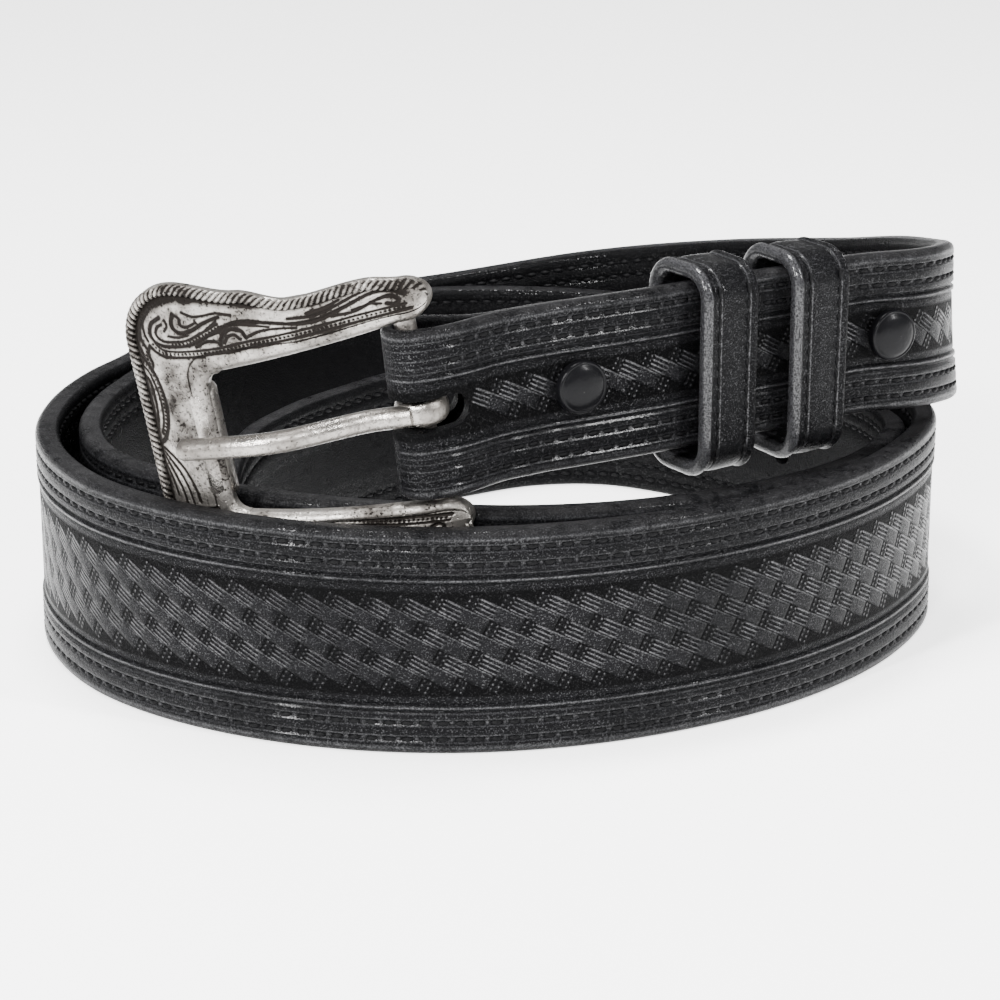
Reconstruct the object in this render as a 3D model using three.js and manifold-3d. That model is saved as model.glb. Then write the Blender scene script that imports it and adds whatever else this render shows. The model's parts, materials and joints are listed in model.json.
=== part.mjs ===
// Western tooled belt, rolled up and standing on its edge.
// Millimetres, +Z up. The origin is on the floor under the middle of the outline, and
// the buckle faces -Y. Angles of the coil run counter-clockwise from +X.

import * as THREE from 'three';
import { mergeVertices } from 'three/addons/utils/BufferGeometryUtils.js';
import Module from 'manifold-3d';

const wasm = await Module();
wasm.setup();

// Driving sizes: leather
const strap_width = 38;
const narrow_width = 28.3;
const strap_thick = 4.2;
const billet_thick = 3;
const fold_thick = 2.2;
const edge_chamfer = 0.9;
const coil_radius = 84;
const turn_gap = 0.4;
const fit_gap = 0.3;

// Driving sizes: folded buckle end
const flap_length = 104;
const flap_inset = 0.8;
const skive_length = 50;
const loop_run = 15;
const slot_length = 6.8;
const slot_width = 5.4;
const heel_bar_radius = 1.8;
const heel_bar_play = 1.1;
const heel_skew_deg = 4.5;
const heel_skew_run = 45;

// Driving sizes: tip
const tip_point = 17;
const tip_nose_width = 5;
const hole_count = 7;
const hole_radius = 2.3;
const hole_pitch = 25.4;
const first_hole = 76;

// Driving sizes: caps and keepers
const cap_radius = 4.5;
const cap_height = 2.3;
const cap_back_height = 1;
const cap_seat = 0.6;
const post_radius = 1.9;
const cap_front_at = 28;
const cap_rear_at = 92;
const keeper_width = 11.4;
const keeper_thick = 2.6;
const keeper_drop = 2.6;
const keeper_stand = 1.8;
const keeper_slack = 4.2;
const keeper_bend = 3.2;
const keeper_front_at = 55.4;
const keeper_rear_at = 74;

// Driving sizes: buckle
const frame_nose_reach = 47;
const frame_wing_reach = 5;
const frame_height = 50.4;
const frame_thick = 3.4;
const frame_bow = 5;
const frame_rise = 1.8;
const frame_lean_deg = 34;
const frame_droop_deg = 4.5;
const window_height = 30.6;
const window_nose_height = 24.1;
const window_nose_drop = 1.95;
const window_reach = 33.5;
const corner_radius = 10;
const nose_bar_radius = 2.5;
const nose_bar_length = 20.6;
const heel_bar_seat = 2.5;
const prong_radius = 1.8;
const prong_slant_deg = 1.3;
const prong_overhang = 3.5;

// The strap's grain face, from the folded end to the tip.
// turn: degrees round the coil. reach: share of coil_radius. layer: thicknesses of
// leather and gaps that lie outside this turn. lift: bottom edge above the floor, and
// spread: how far the width has grown from narrow_width (0) to strap_width (1).
// lift is a share of strap_width. lean: degrees that the top edge leans inward.
const path_columns = ['turn', 'reach', 'layer', 'lift', 'spread', 'lean'];
const path_rows = [
  [-96.5, 0.875, 0, 1.100, 0, 0],
  [-92, 0.844, 0, 1.105, 0, 0],
  [-84, 0.782, 0, 1.110, 0, 0],
  [-77, 0.743, 0, 1.110, 0, 0],
  [-63, 0.715, 0, 1.110, 0, 0],
  [-45, 0.729, 0, 1.110, 0, 0],
  [-25, 0.843, 0, 1.105, 0, 0],
  [-16, 0.955, 0, 1.084, 0, 0],
  [-9, 1.000, 0, 1.050, 0, 2],
  [-3, 1.017, 0, 1.010, 0, 4],
  [4, 1.018, 0, 0.956, 0, 5],
  [15, 1.012, 0, 0.868, 0.01, 4],
  [30, 0.998, 0, 0.721, 0.06, 2],
  [50, 0.988, 0, 0.527, 0.26, 0],
  [70, 0.983, 0, 0.330, 0.50, 0],
  [90, 0.976, 0, 0.120, 0.78, 0],
  [105, 0.964, 0, 0.028, 0.93, 0],
  [120, 0.940, 0, 0, 1, 0],
  [140, 0.893, 0, 0, 1, 0],
  [159, 0.863, 0, 0, 1, 0],
  [170, 0.888, 0, 0, 1, 0],
  [183, 0.925, 0, 0, 1, 0],
  [196, 0.963, 0, 0, 1, 0],
  [209, 0.988, 0, 0, 1, 0],
  [222, 0.998, 0, 0, 1, 0],
  [246, 0.977, 0, 0, 1, 0],
  [265, 0.955, 0, 0, 1, 0],
  [284, 0.935, 0, 0, 1, 0],
  [300, 0.930, 0, 0, 1, 0],
  [317, 0.944, 0, 0, 1, 0],
  [334, 0.967, 0, 0, 1, 0],
  [348, 0.985, 0, 0, 1, 0],
  [355, 0.985, 0.2, 0, 1, 0],
  [362, 0.986, 0.7, 0, 1, 0],
  [372, 0.988, 1, 0, 1, 0],
  [400, 0.985, 1, 0, 1, 0],
  [440, 0.978, 1, 0, 1, 0],
  [470, 0.960, 1, 0, 1, 0],
  [500, 0.882, 1, 0, 1, 0],
  [515, 0.846, 1, 0, 1, 0],
  [530, 0.854, 1, 0, 1, 0],
  [541, 0.883, 1, 0, 1, 0],
  [557, 0.928, 1, 0, 1, 0],
  [571, 0.943, 1, 0, 1, 0],
  [585, 0.912, 1, 0, 1, 0],
  [600, 0.884, 1, 0, 1, 0],
  [618, 0.864, 1, 0, 1, 0],
  [634, 0.871, 1, 0, 0.98, 0],
  [652, 0.874, 1, 0, 0.92, 0],
  [669, 0.880, 1, 0, 0.84, 0],
  [682, 0.902, 1, 0, 0.76, 0],
  [693, 0.929, 1, 0, 0.69, 0],
  [704, 0.955, 1, 0, 0.63, 0],
  [714, 0.975, 1, 0, 0.58, 0],
  [724, 0.975, 1.2, 0, 0.50, 0],
  [745, 0.968, 2, 0, 0.32, 0],
  [774, 0.942, 2, 0, 0.12, 0],
  [788, 0.930, 2, 0, 0.06, 0],
  [800, 0.877, 2, 0, 0.02, 0],
  [815, 0.776, 2, 0, 0, 0],
  [834, 0.698, 2, 0, 0, 0],
  [847, 0.656, 2, 0, 0, 0],
  [862, 0.638, 2, 0, 0, 0],
  [880, 0.638, 2, 0, 0, 0],
  [900, 0.686, 2, 0, 0, 0],
];
const path_step_deg = 5;
const path_start = path_rows[0][0];
const path_end = path_rows[path_rows.length - 1][0];

const black_leather = new THREE.MeshStandardMaterial({ color: 0x1b1b1e, roughness: 0.5 });
const keeper_leather = new THREE.MeshStandardMaterial({ color: 0x17171a, roughness: 0.42 });
const antique_silver = new THREE.MeshStandardMaterial({ color: 0xb9b6b0, roughness: 0.34, metalness: 1 });
const worn_silver = new THREE.MeshStandardMaterial({ color: 0xc9c6c0, roughness: 0.25, metalness: 1 });
const black_enamel = new THREE.MeshStandardMaterial({ color: 0x141416, roughness: 0.28, metalness: 0.4 });

function smooth_step(t) {
  const s = THREE.MathUtils.clamp(t, 0, 1);
  return s * s * (3 - 2 * s);
}

// One row of the path at any angle, by a smooth cubic through the rows.
function path_row(turn) {
  const last = path_rows.length - 1;
  let i = 0;
  while (i < last - 1 && path_rows[i + 1][0] <= turn) i += 1;
  const slope = (k, column) => {
    const before = path_rows[Math.max(k - 1, 0)];
    const after = path_rows[Math.min(k + 1, last)];
    return (after[column] - before[column]) / (after[0] - before[0]);
  };
  const span = path_rows[i + 1][0] - path_rows[i][0];
  const t = (turn - path_rows[i][0]) / span;
  const row = {};
  path_columns.forEach((name, column) => {
    row[name] = (2 * t ** 3 - 3 * t ** 2 + 1) * path_rows[i][column]
      + (t ** 3 - 2 * t ** 2 + t) * span * slope(i, column)
      + (3 * t ** 2 - 2 * t ** 3) * path_rows[i + 1][column]
      + (t ** 3 - t ** 2) * span * slope(i + 1, column);
  });
  return row;
}

function grain_width(turn) {
  const spread = THREE.MathUtils.clamp(path_row(turn).spread, 0, 1);
  return narrow_width + (strap_width - narrow_width) * spread;
}

// The middle of the strap's grain face at an angle of the coil.
function grain_point(turn) {
  const row = path_row(turn);
  const radius = row.reach * coil_radius - row.layer * (strap_thick + turn_gap);
  const angle = THREE.MathUtils.degToRad(turn);
  const height = Math.max(row.lift, 0) * strap_width + grain_width(turn) / 2;
  return new THREE.Vector3(radius * Math.cos(angle), radius * Math.sin(angle), height);
}

// Place and directions of the grain face: along the strap, up across it, and out of it.
function grain_frame(turn) {
  const probe = 0.5;
  const ahead = grain_point(Math.min(turn + probe, path_end));
  const along = ahead.sub(grain_point(Math.max(turn - probe, path_start))).normalize();
  const out = new THREE.Vector3(along.y, -along.x, 0).normalize();
  const lean = THREE.MathUtils.degToRad(path_row(turn).lean);
  out.applyAxisAngle(along, -lean);
  const up = new THREE.Vector3().crossVectors(out, along);
  const skew = heel_skew(turn);
  up.applyAxisAngle(out, skew);
  along.applyAxisAngle(out, skew);
  return { point: grain_point(turn), along, up, out };
}

// The folded end hangs askew: its fold line leans by this much, fading along the strap.
function heel_skew(turn) {
  const fade = 1 - smooth_step(((turn - path_start) / 180) * Math.PI * coil_radius / heel_skew_run);
  return THREE.MathUtils.degToRad(heel_skew_deg) * fade;
}

// Angles of the coil at lengths along the strap, found by walking the path.
const walk_step_deg = 0.5;
const walked = [{ turn: path_start, length: 0 }];
for (let turn = path_start + walk_step_deg; turn <= path_end; turn += walk_step_deg) {
  const before = walked[walked.length - 1];
  const step = grain_point(turn).distanceTo(grain_point(before.turn));
  walked.push({ turn, length: before.length + step });
}
const strap_length = walked[walked.length - 1].length;

function turn_at(length) {
  const i = walked.findIndex((mark) => mark.length > length);
  if (i < 0) return path_end;
  const share = (length - walked[i - 1].length) / (walked[i].length - walked[i - 1].length);
  return walked[i - 1].turn + share * walk_step_deg;
}

function length_at(turn) {
  const i = Math.min(Math.round((turn - path_start) / walk_step_deg), walked.length - 1);
  return walked[i].length;
}

// Thickness of the strap, thinner towards the fold, and the bulge of the fold's loop.
function front_thick(length) {
  const billet = fold_thick + (billet_thick - fold_thick) * smooth_step(length / loop_run);
  return billet + (strap_thick - billet_thick) * smooth_step((length - flap_length) / skive_length);
}

const loop_radius = heel_bar_radius + heel_bar_play + fold_thick / 2;
const loop_bulge = heel_bar_radius + heel_bar_play - fit_gap / 2;

function bulge(length) {
  return loop_bulge * (1 - smooth_step(length / loop_run));
}

// Closed solid through rings of equal point counts, with a flat cap on each end.
function loft(rings) {
  const count = rings[0].length;
  const positions = rings.flat().flatMap((p) => [p.x, p.y, p.z]);
  const faces = [];
  for (let r = 0; r + 1 < rings.length; r += 1) {
    for (let k = 0; k < count; k += 1) {
      const a = r * count + k;
      const b = r * count + (k + 1) % count;
      faces.push(a, a + count, b, b, a + count, b + count);
    }
  }
  const tail = (rings.length - 1) * count;
  for (let k = 1; k + 1 < count; k += 1) {
    faces.push(0, k, k + 1);
    faces.push(tail, tail + k + 1, tail + k);
  }
  const geometry = new THREE.BufferGeometry();
  geometry.setAttribute('position', new THREE.Float32BufferAttribute(positions, 3));
  geometry.setIndex(faces);
  return geometry;
}

// Section of leather: a flat bar with chamfered edges, its middle at the centre.
function leather_ring(centre, up, out, width, thick, chamfer = edge_chamfer) {
  const cut = Math.min(chamfer, thick * 0.3);
  const w = width / 2;
  const t = thick / 2;
  const corners = [
    [w - cut, t], [w, t - cut], [w, cut - t], [w - cut, -t],
    [cut - w, -t], [-w, cut - t], [-w, t - cut], [cut - w, t],
  ];
  return corners.map(([a, b]) => centre.clone().addScaledVector(up, a).addScaledVector(out, b));
}

function to_solid(geometry) {
  const bare = geometry.clone();
  bare.deleteAttribute('normal');
  bare.deleteAttribute('uv');
  const merged = mergeVertices(bare, 1e-4);
  return new wasm.Manifold(new wasm.Mesh({
    numProp: 3,
    vertProperties: new Float32Array(merged.attributes.position.array),
    triVerts: new Uint32Array(merged.index.array),
  }));
}

// The same solid with its faces turned outward.
function outward(geometry) {
  const solid = to_solid(geometry);
  if (solid.volume() > 0) return solid;
  const turned = geometry.index ? geometry.clone() : mergeVertices(geometry.clone(), 1e-4);
  const index = turned.index.array;
  for (let i = 0; i < index.length; i += 3) {
    [index[i], index[i + 1]] = [index[i + 1], index[i]];
  }
  return to_solid(turned);
}

function from_solid(solid) {
  const mesh = solid.getMesh();
  const geometry = new THREE.BufferGeometry();
  geometry.setAttribute('position', new THREE.BufferAttribute(mesh.vertProperties, 3));
  geometry.setIndex(new THREE.BufferAttribute(mesh.triVerts, 1));
  geometry.computeVertexNormals();
  return geometry;
}

// Axes of a place on the strap as a matrix: x along, y up, z out of the grain face.
function strap_matrix(length, depth = 0) {
  const { point, along, up, out } = grain_frame(turn_at(length));
  const place = point.clone().addScaledVector(out, -depth);
  return new THREE.Matrix4().makeBasis(along, up, out).setPosition(place);
}

// The heel bar's axis, between the two leaves of the folded end.
const heel_depth = fold_thick + fit_gap / 2;
const heel = strap_matrix(0, heel_depth);

function strap_rings() {
  const rings = [];
  const flap_ring = (length) => {
    const { point, up, out } = grain_frame(turn_at(length));
    const depth = front_thick(length) + fit_gap + fold_thick / 2 + bulge(length);
    const centre = point.addScaledVector(out, -depth);
    const width = narrow_width - 2 * flap_inset * smooth_step(length / loop_run);
    return leather_ring(centre, up, out.clone().negate(), width, fold_thick);
  };
  const flap_steps = 22;
  for (let k = 0; k < flap_steps; k += 1) {
    const share = 1 - k / flap_steps;
    rings.push(flap_ring(flap_length * share));
  }
  const fold_steps = 10;
  const { point, along, up, out } = grain_frame(path_start);
  const axis = point.clone().addScaledVector(out, -heel_depth);
  for (let k = 0; k < fold_steps; k += 1) {
    const angle = Math.PI * (k / fold_steps) - Math.PI / 2;
    const ray = out.clone().multiplyScalar(Math.sin(angle)).addScaledVector(along, -Math.cos(angle));
    rings.push(leather_ring(axis.clone().addScaledVector(ray, loop_radius), up, ray, narrow_width, fold_thick));
  }
  const strap_ring = (turn, length) => {
    const frame = grain_frame(turn);
    const thick = front_thick(length);
    const centre = frame.point.addScaledVector(frame.out, bulge(length) - thick / 2);
    const to_tip = strap_length - length;
    const pointed = Math.sqrt(Math.max(0, 1 - (1 - Math.min(to_tip / tip_point, 1)) ** 2));
    const width = tip_nose_width + (grain_width(turn) - tip_nose_width) * pointed;
    const drop = to_tip < tip_point ? grain_width(turn) / 2 - narrow_width / 2 : 0;
    centre.addScaledVector(frame.up, drop);
    return leather_ring(centre, frame.up, frame.out, width, thick);
  };
  const dense_run = 40;
  const dense_step = 2.5;
  for (let length = 0; length < dense_run; length += dense_step) {
    rings.push(strap_ring(turn_at(length), length));
  }
  const first_turn = Math.ceil(turn_at(dense_run) / path_step_deg + 0.3) * path_step_deg;
  const tip_turn = turn_at(strap_length - tip_point);
  for (let turn = first_turn; turn < tip_turn - 1; turn += path_step_deg) {
    rings.push(strap_ring(turn, length_at(turn)));
  }
  const tip_steps = 6;
  for (let k = 0; k <= tip_steps; k += 1) {
    const length = strap_length - tip_point * Math.cos((Math.PI / 2) * (k / tip_steps));
    rings.push(strap_ring(turn_at(length), length));
  }
  return rings;
}

// Round hole from the grain face inward to a depth.
function post_cutter(length, radius, depth) {
  const proud = 1;
  const cutter = new THREE.CylinderGeometry(radius, radius, depth + proud, 12);
  cutter.rotateX(Math.PI / 2);
  cutter.translate(0, 0, (proud - depth) / 2);
  cutter.applyMatrix4(strap_matrix(length));
  return to_solid(cutter);
}

// Stadium slot through both leaves at the fold, where the prong comes out.
function slot_cutter() {
  const half = slot_width / 2;
  const back = loop_radius + fold_thick;
  const outline = new THREE.Shape();
  outline.moveTo(-back, -half);
  outline.lineTo(slot_length - half, -half);
  outline.absarc(slot_length - half, 0, half, -Math.PI / 2, Math.PI / 2, false);
  outline.lineTo(-back, half);
  outline.closePath();
  const depth = 4 * back;
  const cutter = new THREE.ExtrudeGeometry(outline, { depth, bevelEnabled: false, curveSegments: 8 });
  cutter.translate(0, 0, -depth / 2);
  cutter.applyMatrix4(heel);
  return to_solid(cutter);
}

function build_strap() {
  let solid = to_solid(loft(strap_rings()));
  const cutters = [slot_cutter()];
  [cap_front_at, cap_rear_at].forEach((at) => {
    cutters.push(post_cutter(at, post_radius + fit_gap, front_thick(at) + fit_gap + fold_thick + 1));
  });
  for (let k = 0; k < hole_count; k += 1) {
    cutters.push(post_cutter(strap_length - first_hole - k * hole_pitch, hole_radius, strap_thick + 1));
  }
  cutters.forEach((cutter) => { solid = solid.subtract(cutter); });
  return new THREE.Mesh(from_solid(solid), black_leather);
}

// Cap on the grain face, post through both leaves and a flat back on the flap.
function build_cap(at) {
  const leather = front_thick(at) + fold_thick + fit_gap;
  const face = cap_seat / 2;
  const back = -leather - cap_seat;
  const dome_rise = cap_height * 0.75;
  const profile = [
    [0, back - cap_back_height], [cap_radius * 0.9, back - cap_back_height], [cap_radius * 0.9, back],
    [post_radius, back], [post_radius, face], [cap_radius, face],
    [cap_radius, face + cap_height - dome_rise],
    [cap_radius * 0.82, face + cap_height * 0.68],
    [cap_radius * 0.45, face + cap_height * 0.93],
    [0, face + cap_height],
  ].map(([r, h]) => new THREE.Vector2(r, h));
  const geometry = new THREE.LatheGeometry(profile, 20);
  geometry.rotateX(Math.PI / 2);
  geometry.applyMatrix4(strap_matrix(at));
  return new THREE.Mesh(from_solid(to_solid(geometry)), black_enamel);
}

// Closed leather band that hangs on the strap's top edge, loose in front, below and
// behind the flap. It follows the strap's bend.
function build_keeper(at) {
  const stack = front_thick(at) + fit_gap + fold_thick;
  const top = narrow_width / 2 + fit_gap;
  const bottom = -narrow_width / 2 - keeper_drop;
  const front = keeper_stand;
  const back = -stack - keeper_slack;
  const outline = (grow) => {
    const shape = new THREE.Shape();
    const [left, right] = [bottom - grow, top + grow];
    const [low, high] = [back - grow, front + grow];
    const r = keeper_bend + grow;
    shape.absarc(right - r, low + r, r, -Math.PI / 2, 0, false);
    shape.absarc(right - r, high - r, r, 0, Math.PI / 2, false);
    shape.absarc(left + r, high - r, r, Math.PI / 2, Math.PI, false);
    shape.absarc(left + r, low + r, r, Math.PI, Math.PI * 1.5, false);
    shape.closePath();
    return shape;
  };
  const band = outline(keeper_thick);
  band.holes.push(outline(0));
  const geometry = new THREE.ExtrudeGeometry(band, {
    depth: keeper_width - 1,
    steps: 3,
    curveSegments: 5,
    bevelEnabled: true,
    bevelThickness: 0.5,
    bevelSize: 0.5,
    bevelOffset: -0.5,
    bevelSegments: 1,
  });
  geometry.translate(0, 0, 0.5 - keeper_width / 2);
  const position = geometry.attributes.position;
  for (let i = 0; i < position.count; i += 1) {
    const across = position.getX(i);
    const outward_by = position.getY(i);
    const { point, up, out } = grain_frame(turn_at(at + position.getZ(i)));
    point.addScaledVector(out, outward_by).addScaledVector(up, across);
    position.setXYZ(i, point.x, point.y, point.z);
  }
  return new THREE.Mesh(from_solid(outward(geometry)), keeper_leather);
}

// Buckle axes: x from the heel bar towards the strap, y up along the bar, z outward.
const buckle_turn = new THREE.Euler(
  0,
  -THREE.MathUtils.degToRad(frame_lean_deg),
  THREE.MathUtils.degToRad(frame_droop_deg),
  'ZYX',
);
const buckle = heel.clone().multiply(new THREE.Matrix4().makeRotationFromEuler(buckle_turn));

// Height of the frame's middle layer, bowed outward between the nose and the wings.
function bow_height(x) {
  const middle = (frame_wing_reach - frame_nose_reach) / 2;
  const half = (frame_wing_reach + frame_nose_reach) / 2;
  return frame_rise + frame_bow * ((middle / half) ** 2 - ((x - middle) / half) ** 2);
}

// The outer edge of a limb dips behind the corner and swells again over the heel bar.
// Rows of [share of the limb's length, rise as a share of half the frame's height].
const scallop_rows = [[0, 0], [0.3, -0.067], [0.52, -0.143], [0.86, -0.086], [1, -0.115]];

function scallop(share) {
  let i = 0;
  while (i < scallop_rows.length - 2 && scallop_rows[i + 1][0] <= share) i += 1;
  const [from, low] = scallop_rows[i];
  const [to, high] = scallop_rows[i + 1];
  return (low + (high - low) * smooth_step((share - from) / (to - from))) * (frame_height / 2);
}

// Inner and outer edge points of one half, from the nose's middle to the wing tip. side is
// 1 for the upper half and -1 for the lower one, where the window reaches further down.
function frame_stations(side) {
  const outer_y = frame_height / 2;
  const window_nose = window_nose_height / 2 - side * window_nose_drop;
  const window_slope = (window_height / 2 - window_nose) / window_reach;
  const inner_y = (x) => Math.min(window_nose + (x + window_reach) * window_slope, window_height / 2);
  const stations = [[-window_reach, 0, -frame_nose_reach, 0]];
  const nose_side = outer_y - corner_radius;
  stations.push([-window_reach, window_nose * 0.5, -frame_nose_reach, nose_side * 0.55]);
  const corner_steps = 6;
  const window_bend = 2.5;
  for (let k = 0; k <= corner_steps; k += 1) {
    const angle = Math.PI - (Math.PI / 2) * (k / corner_steps);
    stations.push([
      -window_reach + window_bend + window_bend * Math.cos(angle),
      window_nose - window_bend + window_bend * Math.sin(angle),
      -frame_nose_reach + corner_radius + corner_radius * Math.cos(angle),
      outer_y - corner_radius + corner_radius * Math.sin(angle),
    ]);
  }
  const limb_start = -frame_nose_reach + corner_radius;
  const window_start = -window_reach + window_bend;
  const limb_steps = 12;
  const wing_round = 4;
  for (let k = 1; k <= limb_steps; k += 1) {
    const share = k / limb_steps;
    const outer_x = limb_start + (frame_wing_reach - wing_round - limb_start) * share;
    const inner_x = window_start + (frame_wing_reach - wing_round - window_start) * share;
    stations.push([inner_x, inner_y(inner_x), outer_x, outer_y + scallop(share)]);
  }
  const tip_steps = 4;
  for (let k = 1; k <= tip_steps; k += 1) {
    const angle = (Math.PI / 2) * (k / tip_steps) * 0.9;
    const x = frame_wing_reach - wing_round + wing_round * Math.sin(angle);
    const wing_y = outer_y + scallop(1);
    const middle = (wing_y + window_height / 2) / 2;
    const half = (wing_y - window_height / 2) / 2;
    const shrink = Math.cos(angle);
    stations.push([x, middle - half * shrink, x, middle + half * shrink]);
  }
  return stations;
}

// Section of the frame from its inner edge (0) to its outer edge (1), heights in thicknesses.
const frame_section = [
  [0, -0.45], [1, -0.45], [1, 0.12], [0.93, 0.42], [0.8, 0.36], [0.5, 0.5], [0.2, 0.36], [0, 0.1],
];

function frame_ring([inner_x, inner_y, outer_x, outer_y], side) {
  const ring = frame_section.map(([across, rise]) => {
    const x = inner_x + (outer_x - inner_x) * across;
    const y = (inner_y + (outer_y - inner_y) * across) * side;
    return new THREE.Vector3(x, y, bow_height(x) + rise * frame_thick);
  });
  return ring;
}

function build_frame() {
  const upper = frame_stations(1).map((station) => frame_ring(station, 1));
  const lower = frame_stations(-1).slice(1).reverse().map((station) => frame_ring(station, -1));
  let solid = outward(loft([...lower, ...upper]));
  const heel_bar = new THREE.CylinderGeometry(heel_bar_radius, heel_bar_radius, window_height + 2 * heel_bar_seat, 12);
  const nose_bar_x = -window_reach - nose_bar_radius * 0.8;
  const nose_bar = new THREE.CapsuleGeometry(nose_bar_radius, nose_bar_length - 2 * nose_bar_radius, 3, 12);
  nose_bar.translate(nose_bar_x, -window_nose_drop, nose_bar_height());
  [heel_bar, nose_bar].forEach((bar) => { solid = solid.add(to_solid(bar)); });
  const geometry = from_solid(solid);
  geometry.applyMatrix4(buckle);
  return new THREE.Mesh(geometry, antique_silver);
}

function nose_bar_height() {
  return bow_height(-window_reach) + frame_thick * 0.2;
}

// Round tongue: an eye round the heel bar, then a rod that lies on the nose bar.
function build_prong() {
  const eye_inner = heel_bar_radius + fit_gap;
  const eye_outer = eye_inner + prong_radius * 1.3;
  const eye_width = prong_radius * 2.4;
  const profile = [
    [eye_inner, -eye_width / 2], [eye_outer - 0.5, -eye_width / 2], [eye_outer, -eye_width / 2 + 0.6],
    [eye_outer, eye_width / 2 - 0.6], [eye_outer - 0.5, eye_width / 2], [eye_inner, eye_width / 2],
    [eye_inner, -eye_width / 2],
  ].map(([r, y]) => new THREE.Vector2(r, y));
  let solid = to_solid(new THREE.LatheGeometry(profile, 20));
  const rest = nose_bar_height() + nose_bar_radius + fit_gap + prong_radius;
  const nose_x = -window_reach - nose_bar_radius * 0.8;
  const route = new THREE.CatmullRomCurve3([
    new THREE.Vector3(-0.5, 0, eye_inner + prong_radius * 0.7),
    new THREE.Vector3(-window_reach * 0.25, 0, eye_inner + prong_radius * 1.1),
    new THREE.Vector3(-window_reach * 0.65, 0, rest * 1.02),
    new THREE.Vector3(nose_x, 0, rest),
    new THREE.Vector3(nose_x - prong_overhang, 0, rest - 0.7),
  ]);
  const sides = 10;
  const steps = 14;
  const rings = [];
  for (let k = 0; k <= steps; k += 1) {
    const share = k / steps;
    const centre = route.getPoint(share);
    const tangent = route.getTangent(share);
    const lift = new THREE.Vector3(-tangent.z, 0, tangent.x).multiplyScalar(-1);
    const taper = share > 0.9 ? 1 - (share - 0.9) * 3.5 : 1;
    const ring = [];
    const aside = centre.x * Math.tan(THREE.MathUtils.degToRad(prong_slant_deg));
    for (let j = 0; j < sides; j += 1) {
      const angle = (2 * Math.PI * j) / sides;
      const point = centre.clone().addScaledVector(lift, prong_radius * taper * Math.cos(angle));
      point.y += aside + prong_radius * Math.sin(angle);
      ring.push(point);
    }
    rings.push(ring);
  }
  solid = solid.add(outward(loft(rings)));
  const geometry = from_solid(solid);
  geometry.applyMatrix4(buckle);
  return new THREE.Mesh(geometry, worn_silver);
}

const group = new THREE.Group();

function add(name, mesh) {
  mesh.name = name;
  group.add(mesh);
}

add('belt_strap', build_strap());
add('snap_front', build_cap(cap_front_at));
add('snap_rear', build_cap(cap_rear_at));
add('keeper_front', build_keeper(keeper_front_at));
add('keeper_rear', build_keeper(keeper_rear_at));
add('buckle_frame', build_frame());
add('buckle_prong', build_prong());

// The origin is on the floor under the middle of the whole part's outline.
const middle = new THREE.Box3().setFromObject(group).getCenter(new THREE.Vector3());
const to_middle = new THREE.Vector3(-middle.x, -middle.y, 0);
group.children.forEach((mesh) => mesh.geometry.translate(to_middle.x, to_middle.y, 0));

// The heel bar's middle and direction, which the frame and the prong both turn about.
group.userData.heel_bar = {
  point: new THREE.Vector3().setFromMatrixPosition(buckle).add(to_middle).toArray(),
  axis: new THREE.Vector3().setFromMatrixColumn(buckle, 1).toArray(),
};

export default group;
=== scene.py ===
import json
import math

import bpy
import numpy as np
from mathutils import Matrix, Vector


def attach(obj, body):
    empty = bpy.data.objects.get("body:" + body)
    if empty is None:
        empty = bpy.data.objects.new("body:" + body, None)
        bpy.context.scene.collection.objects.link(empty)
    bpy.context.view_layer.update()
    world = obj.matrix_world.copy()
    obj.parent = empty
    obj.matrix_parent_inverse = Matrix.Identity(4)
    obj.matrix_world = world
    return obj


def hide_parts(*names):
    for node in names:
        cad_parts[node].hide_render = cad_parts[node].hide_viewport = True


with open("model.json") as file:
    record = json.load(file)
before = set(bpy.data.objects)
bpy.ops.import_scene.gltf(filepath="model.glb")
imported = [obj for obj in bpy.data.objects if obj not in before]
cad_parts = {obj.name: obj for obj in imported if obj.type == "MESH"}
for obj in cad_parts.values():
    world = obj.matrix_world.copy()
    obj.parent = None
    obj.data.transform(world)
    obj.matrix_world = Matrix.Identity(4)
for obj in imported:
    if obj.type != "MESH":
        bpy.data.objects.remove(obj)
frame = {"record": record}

# Dresses the rolled western belt: tooled leather, thread, keepers, caps and engraved silver.
# Lengths in the code are in millimetres until a mesh is written, which is in metres.
bl_info = {
    "name": "Rolled western belt",
    "version": (1, 0, 0),
    "blender": (4, 5, 0),
    "location": "View3D > Sidebar > Belt",
    "description": "Models the leather, stitching and engraved silver of a rolled western belt",
    "category": "Add Mesh",
}

# ---------------------------------------------------------------- sizes shared with the solids

STRAP_WIDTH, NARROW_WIDTH = 38.0, 28.3
STRAP_THICK, BILLET_THICK, FOLD_THICK = 4.2, 3.0, 2.2
COIL_RADIUS, TURN_GAP, FIT_GAP = 84.0, 0.4, 0.3
FLAP_LENGTH, FLAP_INSET, SKIVE_LENGTH, LOOP_RUN = 104.0, 0.8, 50.0, 15.0
SLOT_LENGTH, SLOT_WIDTH = 6.8, 5.4
HEEL_BAR_RADIUS, HEEL_BAR_PLAY, HEEL_SKEW_DEG, HEEL_SKEW_RUN = 1.8, 1.1, 4.5, 45.0
TIP_POINT, TIP_NOSE_WIDTH = 17.0, 5.0
HOLE_COUNT, HOLE_RADIUS, HOLE_PITCH, FIRST_HOLE = 7, 2.3, 25.4, 76.0
CAP_RADIUS, CAP_HEIGHT, CAP_BACK_HEIGHT, CAP_SEAT, POST_RADIUS = 4.5, 2.3, 1.0, 0.6, 1.9
CAP_PLACES = {"front": 28.0, "rear": 92.0}
SEAM_START, SEAM_ROWS = 5.0, (2.7, 5.5)
KEEPER_WIDTH, KEEPER_THICK, KEEPER_DROP = 11.4, 2.6, 2.6
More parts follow.
